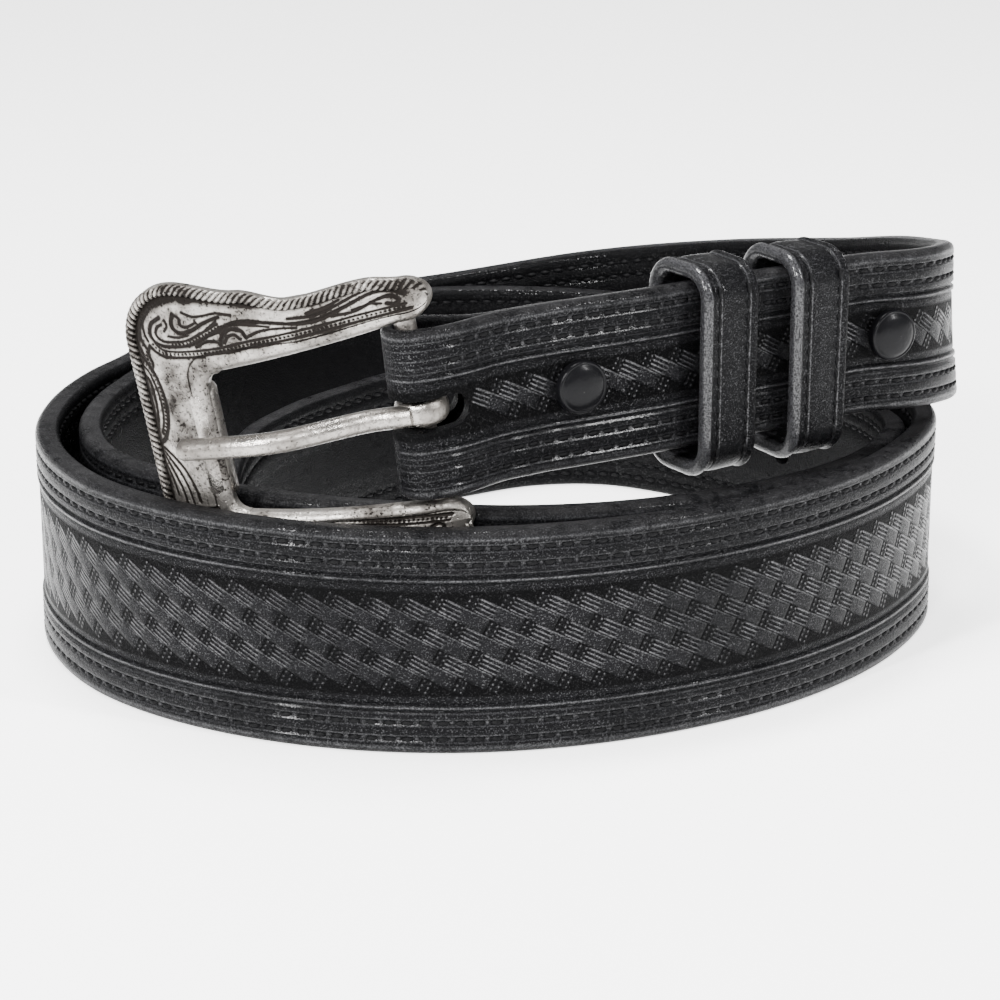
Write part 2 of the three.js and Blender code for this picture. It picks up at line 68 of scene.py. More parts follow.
KEEPER_STAND, KEEPER_SLACK, KEEPER_BEND = 1.8, 4.2, 3.2
KEEPER_PLACES = {"front": 55.4, "rear": 74.0}
FRAME_NOSE_REACH, FRAME_WING_REACH, FRAME_HEIGHT, FRAME_THICK = 47.0, 5.0, 50.4, 3.4
FRAME_BOW, FRAME_RISE, FRAME_LEAN_DEG, FRAME_DROOP_DEG = 5.0, 1.8, 34.0, 4.5
WINDOW_HEIGHT, WINDOW_REACH, CORNER_RADIUS = 30.6, 33.5, 10.0
WINDOW_NOSE_HEIGHT, WINDOW_NOSE_DROP = 24.1, 1.95
NOSE_BAR_RADIUS, NOSE_BAR_LENGTH = 2.5, 20.6
PRONG_RADIUS, PRONG_SLANT_DEG, PRONG_OVERHANG = 1.8, 1.3, 3.5

# ---------------------------------------------------------------- sizes of the dressing alone

GRAIN_SEAM_DEPTH, FLESH_SEAM_DEPTH, STITCH_SLANT = 0.42, 0.22, math.radians(5)
KEEPER_SEAMS, KEEPER_STITCH_PITCH, KEEPER_STITCH, KEEPER_THREAD = (-2.6, 3.45), 2.5, 2.0, 0.7
KEEPER_RIM_FRONT, KEEPER_RIM_REAR = 1.3, 0.9
WING_ROUNDING, WINDOW_ROUNDING = 4.0, 2.5
ROPE_INSET, ROPE_RADIUS, ROPE_LOBE, ROPE_STRANDS = 0.78, 0.5, 0.42, 3
NOSE_BAR_DIP, NOSE_BAR_DIP_RUN, PRONG_END_RUN = 2.6, 8.0, 1.5

# turn, reach, layer, lift, spread, lean: the strap's path
PATH = np.array([
    [-96.5, 0.875, 0, 1.100, 0, 0], [-92, 0.844, 0, 1.105, 0, 0], [-84, 0.782, 0, 1.110, 0, 0],
    [-77, 0.743, 0, 1.110, 0, 0], [-63, 0.715, 0, 1.110, 0, 0], [-45, 0.729, 0, 1.110, 0, 0],
    [-25, 0.843, 0, 1.105, 0, 0], [-16, 0.955, 0, 1.084, 0, 0], [-9, 1.000, 0, 1.050, 0, 2],
    [-3, 1.017, 0, 1.010, 0, 4], [4, 1.018, 0, 0.956, 0, 5], [15, 1.012, 0, 0.868, 0.01, 4],
    [30, 0.998, 0, 0.721, 0.06, 2], [50, 0.988, 0, 0.527, 0.26, 0], [70, 0.983, 0, 0.330, 0.50, 0],
    [90, 0.976, 0, 0.120, 0.78, 0], [105, 0.964, 0, 0.028, 0.93, 0], [120, 0.940, 0, 0, 1, 0],
    [140, 0.893, 0, 0, 1, 0], [159, 0.863, 0, 0, 1, 0], [170, 0.888, 0, 0, 1, 0],
    [183, 0.925, 0, 0, 1, 0], [196, 0.963, 0, 0, 1, 0], [209, 0.988, 0, 0, 1, 0],
    [222, 0.998, 0, 0, 1, 0], [246, 0.977, 0, 0, 1, 0], [265, 0.955, 0, 0, 1, 0],
    [284, 0.935, 0, 0, 1, 0], [300, 0.930, 0, 0, 1, 0], [317, 0.944, 0, 0, 1, 0],
    [334, 0.967, 0, 0, 1, 0], [348, 0.985, 0, 0, 1, 0], [355, 0.985, 0.2, 0, 1, 0],
    [362, 0.986, 0.7, 0, 1, 0], [372, 0.988, 1, 0, 1, 0], [400, 0.985, 1, 0, 1, 0],
    [440, 0.978, 1, 0, 1, 0], [470, 0.960, 1, 0, 1, 0], [500, 0.882, 1, 0, 1, 0],
    [515, 0.846, 1, 0, 1, 0], [530, 0.854, 1, 0, 1, 0], [541, 0.883, 1, 0, 1, 0],
    [557, 0.928, 1, 0, 1, 0], [571, 0.943, 1, 0, 1, 0], [585, 0.912, 1, 0, 1, 0],
    [600, 0.884, 1, 0, 1, 0], [618, 0.864, 1, 0, 1, 0], [634, 0.871, 1, 0, 0.98, 0],
    [652, 0.874, 1, 0, 0.92, 0], [669, 0.880, 1, 0, 0.84, 0], [682, 0.902, 1, 0, 0.76, 0],
    [693, 0.929, 1, 0, 0.69, 0], [704, 0.955, 1, 0, 0.63, 0], [714, 0.975, 1, 0, 0.58, 0],
    [724, 0.975, 1.2, 0, 0.50, 0], [745, 0.968, 2, 0, 0.32, 0], [774, 0.942, 2, 0, 0.12, 0],
    [788, 0.930, 2, 0, 0.06, 0], [800, 0.877, 2, 0, 0.02, 0], [815, 0.776, 2, 0, 0, 0],
    [834, 0.698, 2, 0, 0, 0], [847, 0.656, 2, 0, 0, 0], [862, 0.638, 2, 0, 0, 0],
    [880, 0.638, 2, 0, 0, 0], [900, 0.686, 2, 0, 0, 0],
])
PATH_START, PATH_END = PATH[0, 0], PATH[-1, 0]


def smooth_step(t):
    s = np.clip(t, 0, 1)
    return s * s * (3 - 2 * s)


def unit(v):
    return v / np.linalg.norm(v, axis=-1, keepdims=True)


def turned(v, axis, angle):
    """Vectors turned about unit axes, one angle in radians for each."""
    c, s = np.cos(angle)[:, None], np.sin(angle)[:, None]
    return v * c + np.cross(axis, v) * s + axis * (np.sum(axis * v, axis=1)[:, None] * (1 - c))


def path_row(turn):
    """Rows of the path at any angles, by the same cubic as the solids."""
    turn = np.atleast_1d(np.asarray(turn, float))
    last = len(PATH) - 1
    i = np.clip(np.searchsorted(PATH[:, 0], turn, side="right") - 1, 0, last - 1)
    ahead = np.minimum(np.arange(last + 1) + 1, last)
    behind = np.maximum(np.arange(last + 1) - 1, 0)
    slope = (PATH[ahead] - PATH[behind]) / (PATH[ahead, 0] - PATH[behind, 0])[:, None]
    span = (PATH[i + 1, 0] - PATH[i, 0])[:, None]
    t = (turn[:, None] - PATH[i, 0][:, None]) / span
    return (
        (2 * t**3 - 3 * t**2 + 1) * PATH[i] + (t**3 - 2 * t**2 + t) * span * slope[i]
        + (3 * t**2 - 2 * t**3) * PATH[i + 1] + (t**3 - t**2) * span * slope[i + 1]
    )


def grain_width(turn):
    return NARROW_WIDTH + (STRAP_WIDTH - NARROW_WIDTH) * np.clip(path_row(turn)[:, 4], 0, 1)


def grain_point(turn):
    row = path_row(turn)
    radius = row[:, 1] * COIL_RADIUS - row[:, 2] * (STRAP_THICK + TURN_GAP)
    angle = np.radians(np.atleast_1d(turn))
    height = np.maximum(row[:, 3], 0) * STRAP_WIDTH + grain_width(turn) / 2
    return np.stack([radius * np.cos(angle), radius * np.sin(angle), height], axis=1)


def grain_frame(turn):
    """Point, along, up and out of the grain face at angles of the coil."""
    turn = np.atleast_1d(np.asarray(turn, float))
    ahead, behind = np.minimum(turn + 0.5, PATH_END), np.maximum(turn - 0.5, PATH_START)
    along = unit(grain_point(ahead) - grain_point(behind))
    out = unit(np.stack([along[:, 1], -along[:, 0], np.zeros(len(turn))], axis=1))
    out = turned(out, along, -np.radians(path_row(turn)[:, 5]))
    up = np.cross(out, along)
    walked_from_heel = (turn - PATH_START) / 180 * math.pi * COIL_RADIUS
    skew = np.radians(HEEL_SKEW_DEG) * (1 - smooth_step(walked_from_heel / HEEL_SKEW_RUN))
    return grain_point(turn), turned(along, out, skew), turned(up, out, skew), out


WALK_TURNS = np.arange(PATH_START, PATH_END + 0.001, 0.5)
WALK_LENGTHS = np.concatenate([
    [0.0], np.cumsum(np.linalg.norm(np.diff(grain_point(WALK_TURNS), axis=0), axis=1))
])
STRAP_LENGTH = float(WALK_LENGTHS[-1])
WEAVE_START, WEAVE_END = 11.0, STRAP_LENGTH - 205.0


def turn_at(length):
    return np.interp(length, WALK_LENGTHS, WALK_TURNS)


def front_thick(length):
    billet = FOLD_THICK + (BILLET_THICK - FOLD_THICK) * smooth_step(length / LOOP_RUN)
    skived = smooth_step((length - FLAP_LENGTH) / SKIVE_LENGTH)
    return billet + (STRAP_THICK - BILLET_THICK) * skived


LOOP_RADIUS = HEEL_BAR_RADIUS + HEEL_BAR_PLAY + FOLD_THICK / 2
LOOP_BULGE = HEEL_BAR_RADIUS + HEEL_BAR_PLAY - FIT_GAP / 2
LOOP_CUT = 12.0
HEEL_DEPTH = FOLD_THICK + FIT_GAP / 2


def bulge(length):
    return LOOP_BULGE * (1 - smooth_step(length / LOOP_RUN))


def strap_matrix(length, depth=0.0):
    """x along the strap, y up across it, z out of the grain face; in millimetres."""
    point, along, up, out = (v[0] for v in grain_frame(turn_at(length)))
    place = point - out * depth
    return np.array([[*row] for row in np.column_stack([along, up, out, place])] + [[0, 0, 0, 1]])


HEEL = strap_matrix(0.0, HEEL_DEPTH)
DROOP = Matrix.Rotation(math.radians(FRAME_DROOP_DEG), 4, "Z")
LEAN = Matrix.Rotation(-math.radians(FRAME_LEAN_DEG), 4, "Y")
BUCKLE = HEEL @ np.array(DROOP @ LEAN)
# The solids' origin is under the middle of their outline; the heel bar says where that is.
HEEL_BAR_AT = np.array(frame["record"]["behaviour"]["joints"][0]["pos_m"]) * 1000
TO_MIDDLE = np.array([HEEL_BAR_AT[0] - BUCKLE[0, 3], HEEL_BAR_AT[1] - BUCKLE[1, 3], 0.0])


def placed(matrix, points):
    """Millimetre points in a place's own axes, in the part's frame."""
    points = np.asarray(points, float)
    return points @ matrix[:3, :3].T + matrix[:3, 3] + TO_MIDDLE


# ---------------------------------------------------------------- modelling helpers


def only(obj):
    bpy.ops.object.select_all(action="DESELECT")
    obj.select_set(True)
    bpy.context.view_layer.objects.active = obj


def primitive(name, add, **settings):
    """A new primitive under a name of its own."""
    bpy.ops.object.select_all(action="DESELECT")
    add(**settings)
    obj = bpy.context.object
    obj.name = obj.data.name = name
    return obj


def smooth(obj, degrees):
    """Smooth shading, apart from edges sharper than an angle."""
    only(obj)
    bpy.ops.object.shade_smooth_by_angle(angle=math.radians(degrees))


def stretch_all(*value, centre=(0, 0, 0)):
    bpy.ops.transform.resize(value=value, center_override=centre)


def quarter_turn(axis):
    bpy.ops.transform.rotate(value=math.pi / 2, orient_axis=axis, center_override=(0, 0, 0))


def face_outward():
    bpy.ops.mesh.select_all(action="SELECT")
    bpy.ops.mesh.normals_make_consistent(inside=False)


def edit(obj, *steps):
    """Runs steps in edit mode on everything of one object."""
    only(obj)
    bpy.ops.object.mode_set(mode="EDIT")
    bpy.ops.mesh.select_all(action="SELECT")
    for step in steps:
        step()
    bpy.ops.object.mode_set(mode="OBJECT")


def set_places(obj, points_mm):
    obj.data.vertices.foreach_set("co", (np.asarray(points_mm) * 0.001).astype(np.float32).ravel())
    obj.data.update()


def get_places(obj):
    """Vertex places in millimetres."""
    flat = np.empty(len(obj.data.vertices) * 3, np.float32)
    obj.data.vertices.foreach_get("co", flat)
    return flat.reshape(-1, 3).astype(float) * 1000


def apply_modifier(obj, kind, **settings):
    only(obj)
    modifier = obj.modifiers.new(kind.lower(), kind)
    for key, value in settings.items():
        setattr(modifier, key, value)
    bpy.ops.object.modifier_apply(modifier=modifier.name)


def skin(name, rings, uvs=None, rim_uvs=None, run_closed=False, paint=None):
    """A sheet of leather or metal: a flat grid, carried to its place and joined round to itself.

    rings is (rows along, columns round, 3) in millimetres. uvs and rim_uvs give two UV maps in
    the same layout, and paint one value for each place, kept as the attribute "patina".
    """

    def closed(grid):
        grid = np.concatenate([grid, grid[:, :1]], axis=1)
        return np.concatenate([grid, grid[:1]], axis=0) if run_closed else grid

    rings = closed(rings)
    rows, cols = rings.shape[:2]
    add = bpy.ops.mesh.primitive_grid_add
    obj = primitive(name, add, x_subdivisions=rows - 1, y_subdivisions=cols - 1, size=1)
    flat = get_places(obj) / 1000 + 0.5
    i = np.rint(flat[:, 0] * (rows - 1)).astype(int)
    j = np.rint(flat[:, 1] * (cols - 1)).astype(int)
    if len(flat) != rows * cols:
        raise RuntimeError(f"{name}: the grid has {len(flat)} points, not {rows * cols}")
    set_places(obj, rings[i, j])
    corner = np.empty(len(obj.data.loops), int)
    obj.data.loops.foreach_get("vertex_index", corner)
    for map_name, grid in (("cut", uvs), ("rim", rim_uvs)):
        if grid is not None:
            layer = obj.data.uv_layers.new(name=map_name)
            layer.data.foreach_set("uv", closed(grid)[i, j][corner].astype(np.float32).ravel())
    if uvs is not None:
        obj.data.uv_layers.remove(obj.data.uv_layers[0])
    if paint is not None:
        # paint holds patina, and on the buckle also painted shade
        spot = obj.data.attributes.new("patina", "FLOAT", "POINT")
        spot.data.foreach_set("value", closed(paint)[i, j].astype(np.float32))
    edit(
        obj,
        lambda: bpy.ops.mesh.remove_doubles(threshold=0.000002),
        lambda: bpy.ops.mesh.fill_holes(sides=0),
        face_outward,
    )
    smooth(obj, 50)
    return obj


def copies(name, pattern, matrices):
    """One mesh of many copies of a small pattern, each at its own 4 by 4 place in millimetres."""
    shape = get_places(pattern)
    faces = [tuple(p.vertices) for p in pattern.data.polygons]
    count = len(shape)
    places, polygons = [], []
    for k, matrix in enumerate(matrices):
        places.append(placed(matrix, shape) * 0.001)
        polygons.extend(tuple(v + k * count for v in face) for face in faces)
    mesh = bpy.data.meshes.new(name)
    mesh.from_pydata(np.concatenate(places).tolist(), [], polygons)
    mesh.update()
    obj = bpy.data.objects.new(name, mesh)
    bpy.context.collection.objects.link(obj)
    bpy.data.objects.remove(pattern, do_unlink=True)
    only(obj)
    bpy.ops.object.shade_smooth()
    return obj


def thread_pattern(length, thick):
    """One stitch: a sphere drawn out along the seam and squeezed flat at both ends."""
    add = bpy.ops.mesh.primitive_uv_sphere_add
    obj = primitive("stitch", add, segments=8, ring_count=6, radius=0.0005)
    edit(obj, lambda: quarter_turn("Y"), lambda: stretch_all(length, thick, thick))
    shape = get_places(obj)
    along = np.clip(shape[:, 0] / (length / 2), -1, 1)
    shape[:, 2] -= 0.35 * thick * np.abs(along) ** 3
    set_places(obj, shape)
    return obj


def disc(name, sides, radius_mm):
    radius = radius_mm * 0.001
    add = bpy.ops.mesh.primitive_circle_add
    return primitive(name, add, vertices=sides, radius=radius, fill_type="NGON")


def extrude(height_mm):
    bpy.ops.mesh.extrude_region_move(TRANSFORM_OT_translate={"value": (0, 0, height_mm * 0.001)})


def drawn(name, profile, matrix, sides=64):
    """A round piece: a disc extruded and drawn in or out for each radius and height."""
    obj = disc(name, sides, profile[0][0])

    def draw():
        bpy.ops.transform.translate(value=(0, 0, profile[0][1] * 0.001))
        for (r0, h0), (r1, h1) in zip(profile, profile[1:]):
            extrude(h1 - h0)
            stretch_all(r1 / r0, r1 / r0, 1, centre=(0, 0, h1 * 0.001))

    edit(obj, draw, face_outward)
    set_places(obj, placed(matrix, get_places(obj)))
    smooth(obj, 40)
    return obj


def finish_piece(obj, material, body, slot, *nodes):
    obj.data.materials.clear()
    obj.data.materials.append(material)
    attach(obj, body)
    if nodes:
        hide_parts(*nodes)


# ---------------------------------------------------------------- finishes


class Signal:
    """A node's output that can be added, multiplied and compared."""

    def __init__(self, shop, socket):
        self.shop, self.socket = shop, socket

    def math(self, operation, *others, clamp=False):
        settings = {"operation": operation, "use_clamp": clamp}
        return self.shop.node("ShaderNodeMath", settings, [self, *others])

    def __add__(self, other):
        return self.math("ADD", other)

    __radd__ = __add__

    def __mul__(self, other):
        return self.math("MULTIPLY", other)

    __rmul__ = __mul__

    def __sub__(self, other):
        return self.math("SUBTRACT", other)

    def __rsub__(self, other):
        return self.shop.node("ShaderNodeMath", {"operation": "SUBTRACT"}, [other, self])

    def __truediv__(self, other):
        return self.math("DIVIDE", other)

    def __pow__(self, other):
        return self.math("POWER", other)

    def __abs__(self):
        return self.math("ABSOLUTE")

    def clamp(self):
        return self.math("ADD", 0.0, clamp=True)

    def most(self, other):
        return self.math("MAXIMUM", other)

    def ridge(self, at, width):
        """1 at a value, falling to 0 at a width from it."""
        return (1.0 - abs(self - at) / width).clamp()

    def block(self, power):
        """1 in the middle, falling to 0 at -1 and 1, the more steeply the higher the power."""
        return (1.0 - abs(self) ** power).clamp()

    def over(self, edge, soft=0.1):
        """0 below the edge and 1 above it, with a soft step."""
        return ((self - edge) / soft + 0.5).clamp()

    def wrap(self, period, shift=0.0):
        """Distance from the nearest of many lines a period apart."""
        return (self - shift).math("WRAP", period / 2, -period / 2)


class Finish:
    """One material and its nodes."""

    def __init__(self, name, **constants):
        self.material = bpy.data.materials.new(name)
        self.material.use_nodes = True
        self.tree = self.material.node_tree
        self.surface = self.tree.nodes["Principled BSDF"]
        for key, value in constants.items():
            self.surface.inputs[key.replace("_", " ")].default_value = value

    def node(self, kind, settings=None, inputs=None, out=0):
        """Adds a node: its settings first, then values or links, by order or by name."""
        made = self.tree.nodes.new(kind)
        for key, value in (settings or {}).items():
            if key == "stops":
                ramp = made.color_ramp
                while len(ramp.elements) < len(value):
                    ramp.elements.new(0.5)
                for element, (position, colour) in zip(ramp.elements, value):
                    element.position, element.color = position, colour
            else:
                setattr(made, key, value)
        pairs = inputs.items() if isinstance(inputs, dict) else enumerate(inputs or [])
        for key, value in pairs:
            if isinstance(value, Signal):
                self.tree.links.new(value.socket, made.inputs[key])
            elif value is not None:
                made.inputs[key].default_value = value
        return Signal(self, made.outputs[out])

    def place(self):
        return self.node("ShaderNodeTexCoord", out="Object")

    def noise(self, scale, detail=2.0, rough=0.5, at=None):
        """Fractal noise, with features about 1 / scale metres across."""
        inputs = {"Vector": at or self.place(), "Scale": scale, "Detail": detail, "Roughness": rough}
        return self.node("ShaderNodeTexNoise", inputs=inputs)

    def stretched(self, scale, turn=(0.0, 0.0, 0.0)):
        """The object's own places, stretched along one axis."""
        inputs = {"Vector": self.place(), "Rotation": turn, "Scale": scale}
        return self.node("ShaderNodeMapping", inputs=inputs)

    def cells(self, scale):
        """Distance from the nearest of many scattered spots."""
        inputs = {"Vector": self.place(), "Scale": scale}
        return self.node("ShaderNodeTexVoronoi", inputs=inputs, out="Distance")

    def blend(self, amount, low, high):
        """A colour between two."""
        ends = [end if isinstance(end, Signal) else (*end, 1) for end in (low, high)]
        inputs = {"Factor": amount, 6: ends[0], 7: ends[1]}
        return self.node("ShaderNodeMix", {"data_type": "RGBA"}, inputs, out=2)

    def layers(self, name):
        """The two numbers of a UV map, in millimetres."""
        uv = self.node("ShaderNodeUVMap", {"uv_map": name})
        split = self.node("ShaderNodeSeparateXYZ", inputs=[uv]).socket.node
        return Signal(self, split.outputs[0]) * 1000.0, Signal(self, split.outputs[1]) * 1000.0

    def wire(self, **links):
        for key, signal in links.items():
            self.tree.links.new(signal.socket, self.surface.inputs[key.replace("_", " ")])

    def bump(self, height_mm):
        """Height in millimetres to the surface's normal."""
        inputs = {"Strength": 1.0, "Distance": 0.001, "Height": height_mm}
        self.wire(Normal=self.node("ShaderNodeBump", inputs=inputs))


NEW_BLACK, FADED_BLACK = (0.0012, 0.0012, 0.0014), (0.0035, 0.0035, 0.004)
SCUFFED = (0.02, 0.02, 0.022)


def leather_skin(shop, pits=0.05, scuffs=0.06):
    """Pores, creases and fine scratches: (height in mm, mottle, scratches, grain)."""
    pores = shop.cells(1700.0)
    grain = shop.noise(3800.0, 2.0, 0.6)
    creases = shop.noise(420.0, 4.0, 0.6)
    drift = shop.noise(45.0, 2.0)
    drawn_out = shop.stretched((1.0, 1.0, 9.0), (0.4, 0.9, 0.3))
    scratches = shop.noise(700.0, 2.0, 0.7, at=drawn_out)
    height = (pores + grain * 5.0 + creases * 1.6) * pits + scratches * scuffs * 0.5
    return height, creases * 0.5 + drift * 0.5, scratches, grain


def strap_finish(settings):
    """Black tooled leather with the basket weave stamped between its beads, worn where it is high, with
    painted highlights on its ridges and painted shade in the weave's hollows.
    """
    shop = Finish("black_tooled_leather", Specular_IOR_Level=0.03, Coat_Roughness=0.16)
    s, v = shop.layers("cut")
    rim, side = shop.layers("rim")
    length, row = settings.weave_length * 1000, settings.weave_row * 1000
    pitch = settings.stitch_pitch * 1000
    slant = math.atan2(row, length)
    p = s * math.cos(slant) - v * math.sin(slant)
    q = s * math.sin(slant) + v * math.cos(slant)
    panel = abs(v) + rim - settings.panel_inset * 1000

    def waves(at, period):
        return (at * (2 * math.pi / period)).math("COSINE") * 0.5 + 0.5

    def stamp_place(shift_p, shift_q, margin):
        """Place within one stamp, and 1 where its middle is on the panel, so the edge is ragged."""
        dp, dq = p.wrap(length * 2, shift_p), q.wrap(row * 2, shift_q)
        middle_v = v - (dq * math.cos(slant) - dp * math.sin(slant))
        middle_s = s - (dq * math.sin(slant) + dp * math.cos(slant))
        inside = (panel + margin - abs(middle_v)).over(0.0, 0.2)
        inside = inside * (panel + 0.9 - abs(v)).over(0.0, 1.4)
        started = middle_s.over(WEAVE_START, 0.3) * (WEAVE_END - middle_s).over(0.0, 0.3)
        return dp, dq, inside * started

    def strand(shift_p, shift_q):
        """Height and painted highlight of one family of strands: a domed body with combed lines at one end.
        """
        dp, dq, stamp = stamp_place(shift_p, shift_q, 0.3)
        x, y = dp / (length * 0.79), dq / (row * 0.53)
        body = (x.block(8.0) * y.block(5.0)).math("POWER", 0.6)
        dip = 1.0 - abs(x - 0.15) ** 2.0 * 0.5
        lines = waves(dq, row * 0.27)
        combed = (0.0 - x).over(0.2, 0.25) * (1.02 + x).over(0.0, 0.1)
        # painted highlight along the upper shoulder only, where light from above would catch it, and on the
        # combed lines
        shoulder = y.ridge(0.84, 0.13) * x.block(6.0)
        comb = (1.0 - lines).over(0.72, 0.3) * combed * (1.0 - abs(y)).over(0.1, 0.1)
        return body * dip * (1.0 - lines * combed * 0.6) * stamp, shoulder.most(comb) * stamp

    def rib(shift_p, shift_q):
        """Height and painted highlight of the dotted ribs between the strands."""
        dp, dq, stamp = stamp_place(shift_p, shift_q, -0.7)
        x, y = dp / (length * 0.215), dq / (row * 0.52)
        body = x.block(4.0) * y.block(6.0)
        dots = waves(dq, row * 0.33) * abs(x).ridge(0.5, 0.32)
        return body * (0.12 + dots * 0.6) * stamp, dots.over(0.6, 0.3) * body * stamp

    (even, even_painted_shine), (odd, odd_painted_shine) = strand(0.0, 0.0), strand(length, row)
    (even_rib, even_painted_dots), (odd_rib, odd_painted_dots) = rib(length, 0.0), rib(0.0, row)
    grain_side, edge_side = side.over(700.0, 100.0), side.over(250.0, 100.0)
    woven = even.most(odd)
    bare = 1.0 - woven.over(0.25, 0.2)
    weave = woven.most(even_rib.most(odd_rib) * bare) * grain_side
    weave_painted_shine = even_painted_shine.most(odd_painted_shine).most((even_painted_dots + odd_painted_dots) * bare)

    past_slot = (s - (SLOT_LENGTH - SLOT_WIDTH / 2)).most(0.0)
    from_slot = (past_slot * past_slot + v * v).math("SQRT") - SLOT_WIDTH / 2
    lip = from_slot.ridge(1.7, 1.2).math("SMOOTH_MIN", 0.8, 0.3) * (s + 6.0).over(0.0, 2.0)

    between = s.wrap(pitch, SEAM_START + pitch / 2).ridge(0.0, 0.55)
    sunk = rim.ridge(SEAM_ROWS[0], 0.6).most(rim.ridge(SEAM_ROWS[1], 0.6))
    bridge = between * sunk * grain_side * (s - SEAM_START).over(0.0, 0.5)

    skin_height, mottle, scratches, grain = leather_skin(shop)
    folds = shop.noise(900.0, 3.0, 0.6, at=shop.stretched((0.35, 1.0, 1.0)))
    by_the_fold = (24.0 - s).over(0.0, 22.0) * grain_side
    shop.bump(
        weave * (settings.weave_depth * 1000) + skin_height + bridge * 0.35
        + lip * 0.4 * grain_side + folds * by_the_fold * 0.3
    )

    # Painted highlights on the bead's top, the rounded edge and the lips of the stitch grooves.
    ridges = rim.ridge(8.15, 0.28).most(rim.ridge(1.25, 0.5) * 0.7)
    for at in (2.15, 3.35, 4.95, 6.15, 7.1):
        ridges = ridges.most(rim.ridge(at, 0.2) * 0.55)
    broken = (0.2 + grain.over(0.5, 0.12) * 0.8) * (0.4 + mottle.over(0.48, 0.16) * 0.7)
    painted_shine = (weave_painted_shine.most(ridges).most(bridge * 0.8) * grain_side * broken).clamp()
    on_panel = (panel + 0.4 - abs(v)).over(0.0, 0.5)
    calm = 1.0 - on_panel * (1.0 - weave.over(0.3, 0.2)) * 0.75
    # Painted sparkle: small lighter spots on the grain, fewer in the weave's hollows.
    painted_sparkle = grain.over(0.61, 0.07) * calm * (0.25 + mottle.over(0.5, 0.2) * 0.35)
    painted_sheen_and_coat = painted_shine.most(painted_sparkle)
    worn = (weave.over(0.8, 0.3) * 0.1 + scratches.over(0.62, 0.08) * 0.4).clamp()
    # Painted shade: the weave's hollows darkened towards black.
    painted_hollow_shade = (1.0 - weave.over(0.15, 0.2)) * on_panel * grain_side
    edge = (1.0 - rim.over(0.9, 0.6)) * mottle.over(0.5, 0.25)
    grain_colour = shop.blend(mottle, NEW_BLACK, FADED_BLACK)
    grain_colour = shop.blend(worn, grain_colour, SCUFFED)
    grain_colour = shop.blend(painted_hollow_shade * 0.9, grain_colour, (0.0003, 0.0003, 0.0004))
    grain_colour = shop.blend(edge * 0.55, grain_colour, (0.02, 0.0195, 0.02))
    flesh = shop.blend(mottle, (0.001, 0.001, 0.0012), (0.003, 0.003, 0.0033))
    base = shop.blend(edge_side, flesh, grain_colour)
    # The painted highlights and sparkle are lightened into the base colour; the same mask also sets the
    # coat's weight.
    base = shop.blend(painted_sheen_and_coat * (0.35 + edge_side * 0.65), base, (0.04, 0.04, 0.0425))
    rough = 0.25 - worn * 0.05 + painted_hollow_shade * 0.3 + mottle.over(0.52, 0.3) * 0.1
    shop.wire(Base_Color=base, Coat_Weight=(painted_sheen_and_coat * 0.65).clamp(), Roughness=rough.clamp())
    return shop.material


def plain_leather_finish():
    """Smooth black keeper leather, shinier on its rim and along its seams, where highlights are also painted
    into its colour.
    """
    shop = Finish("black_keeper_leather", Specular_IOR_Level=0.04, Coat_Roughness=0.14)
    height, mottle, scratches, grain = leather_skin(shop, 0.035, 0.05)
    shop.bump(height)
    worn = scratches.over(0.63, 0.08)
    base = shop.blend(mottle, NEW_BLACK, FADED_BLACK)
    across = shop.layers("cut")[1]
    # Painted highlights on the rolled front rim, along the two seams and in small grain sparkles; the same
    # mask sets the coat's weight.
    rolled = (0.75 - abs(across + 5.0)).over(0.0, 0.5)
    sewn = across.ridge(-2.2, 0.22).most(across.ridge(3.85, 0.22))
    broken = 0.2 + grain.over(0.5, 0.12) * 0.8
    painted_sheen_and_coat = (rolled * 0.75).most(sewn * 0.8) * broken
    painted_sheen_and_coat = painted_sheen_and_coat.most(grain.over(0.62, 0.07) * 0.35)
    base = shop.blend((worn * 0.4).most(painted_sheen_and_coat), base, (0.045, 0.045, 0.048))
    rough = 0.22 + mottle * 0.12 - worn * 0.05
    shop.wire(Base_Color=base, Coat_Weight=(painted_sheen_and_coat * 0.8).clamp(), Roughness=rough.clamp())
    return shop.material


def thread_finish():
    """Waxed black thread with its two plies."""
    shop = Finish("waxed_thread", Specular_IOR_Level=0.07)
    twist = shop.noise(2600.0, 2.0)
    shop.bump(twist * 0.12)
    colour = shop.blend(twist, (0.0008, 0.0008, 0.001), (0.004, 0.004, 0.0045))
    shop.wire(Base_Color=colour, Roughness=(0.4 + twist * 0.2).clamp())
    return shop.material


def enamel_finish():
    """Black enamel caps with rubbed spots."""
    shop = Finish("cap_black_enamel", Coat_Weight=0.08, Coat_Roughness=0.2, Specular_IOR_Level=0.04)
    wave, rub = shop.noise(240.0, 3.0), shop.noise(900.0, 4.0, 0.65)
    shop.bump(wave * 0.25 + rub * 0.05)
    colour = shop.blend(rub.over(0.72, 0.06), (0.003, 0.003, 0.0035), (0.05, 0.049, 0.047))
    shop.wire(Base_Color=colour, Roughness=(0.24 + wave * 0.14).clamp())
    return shop.material


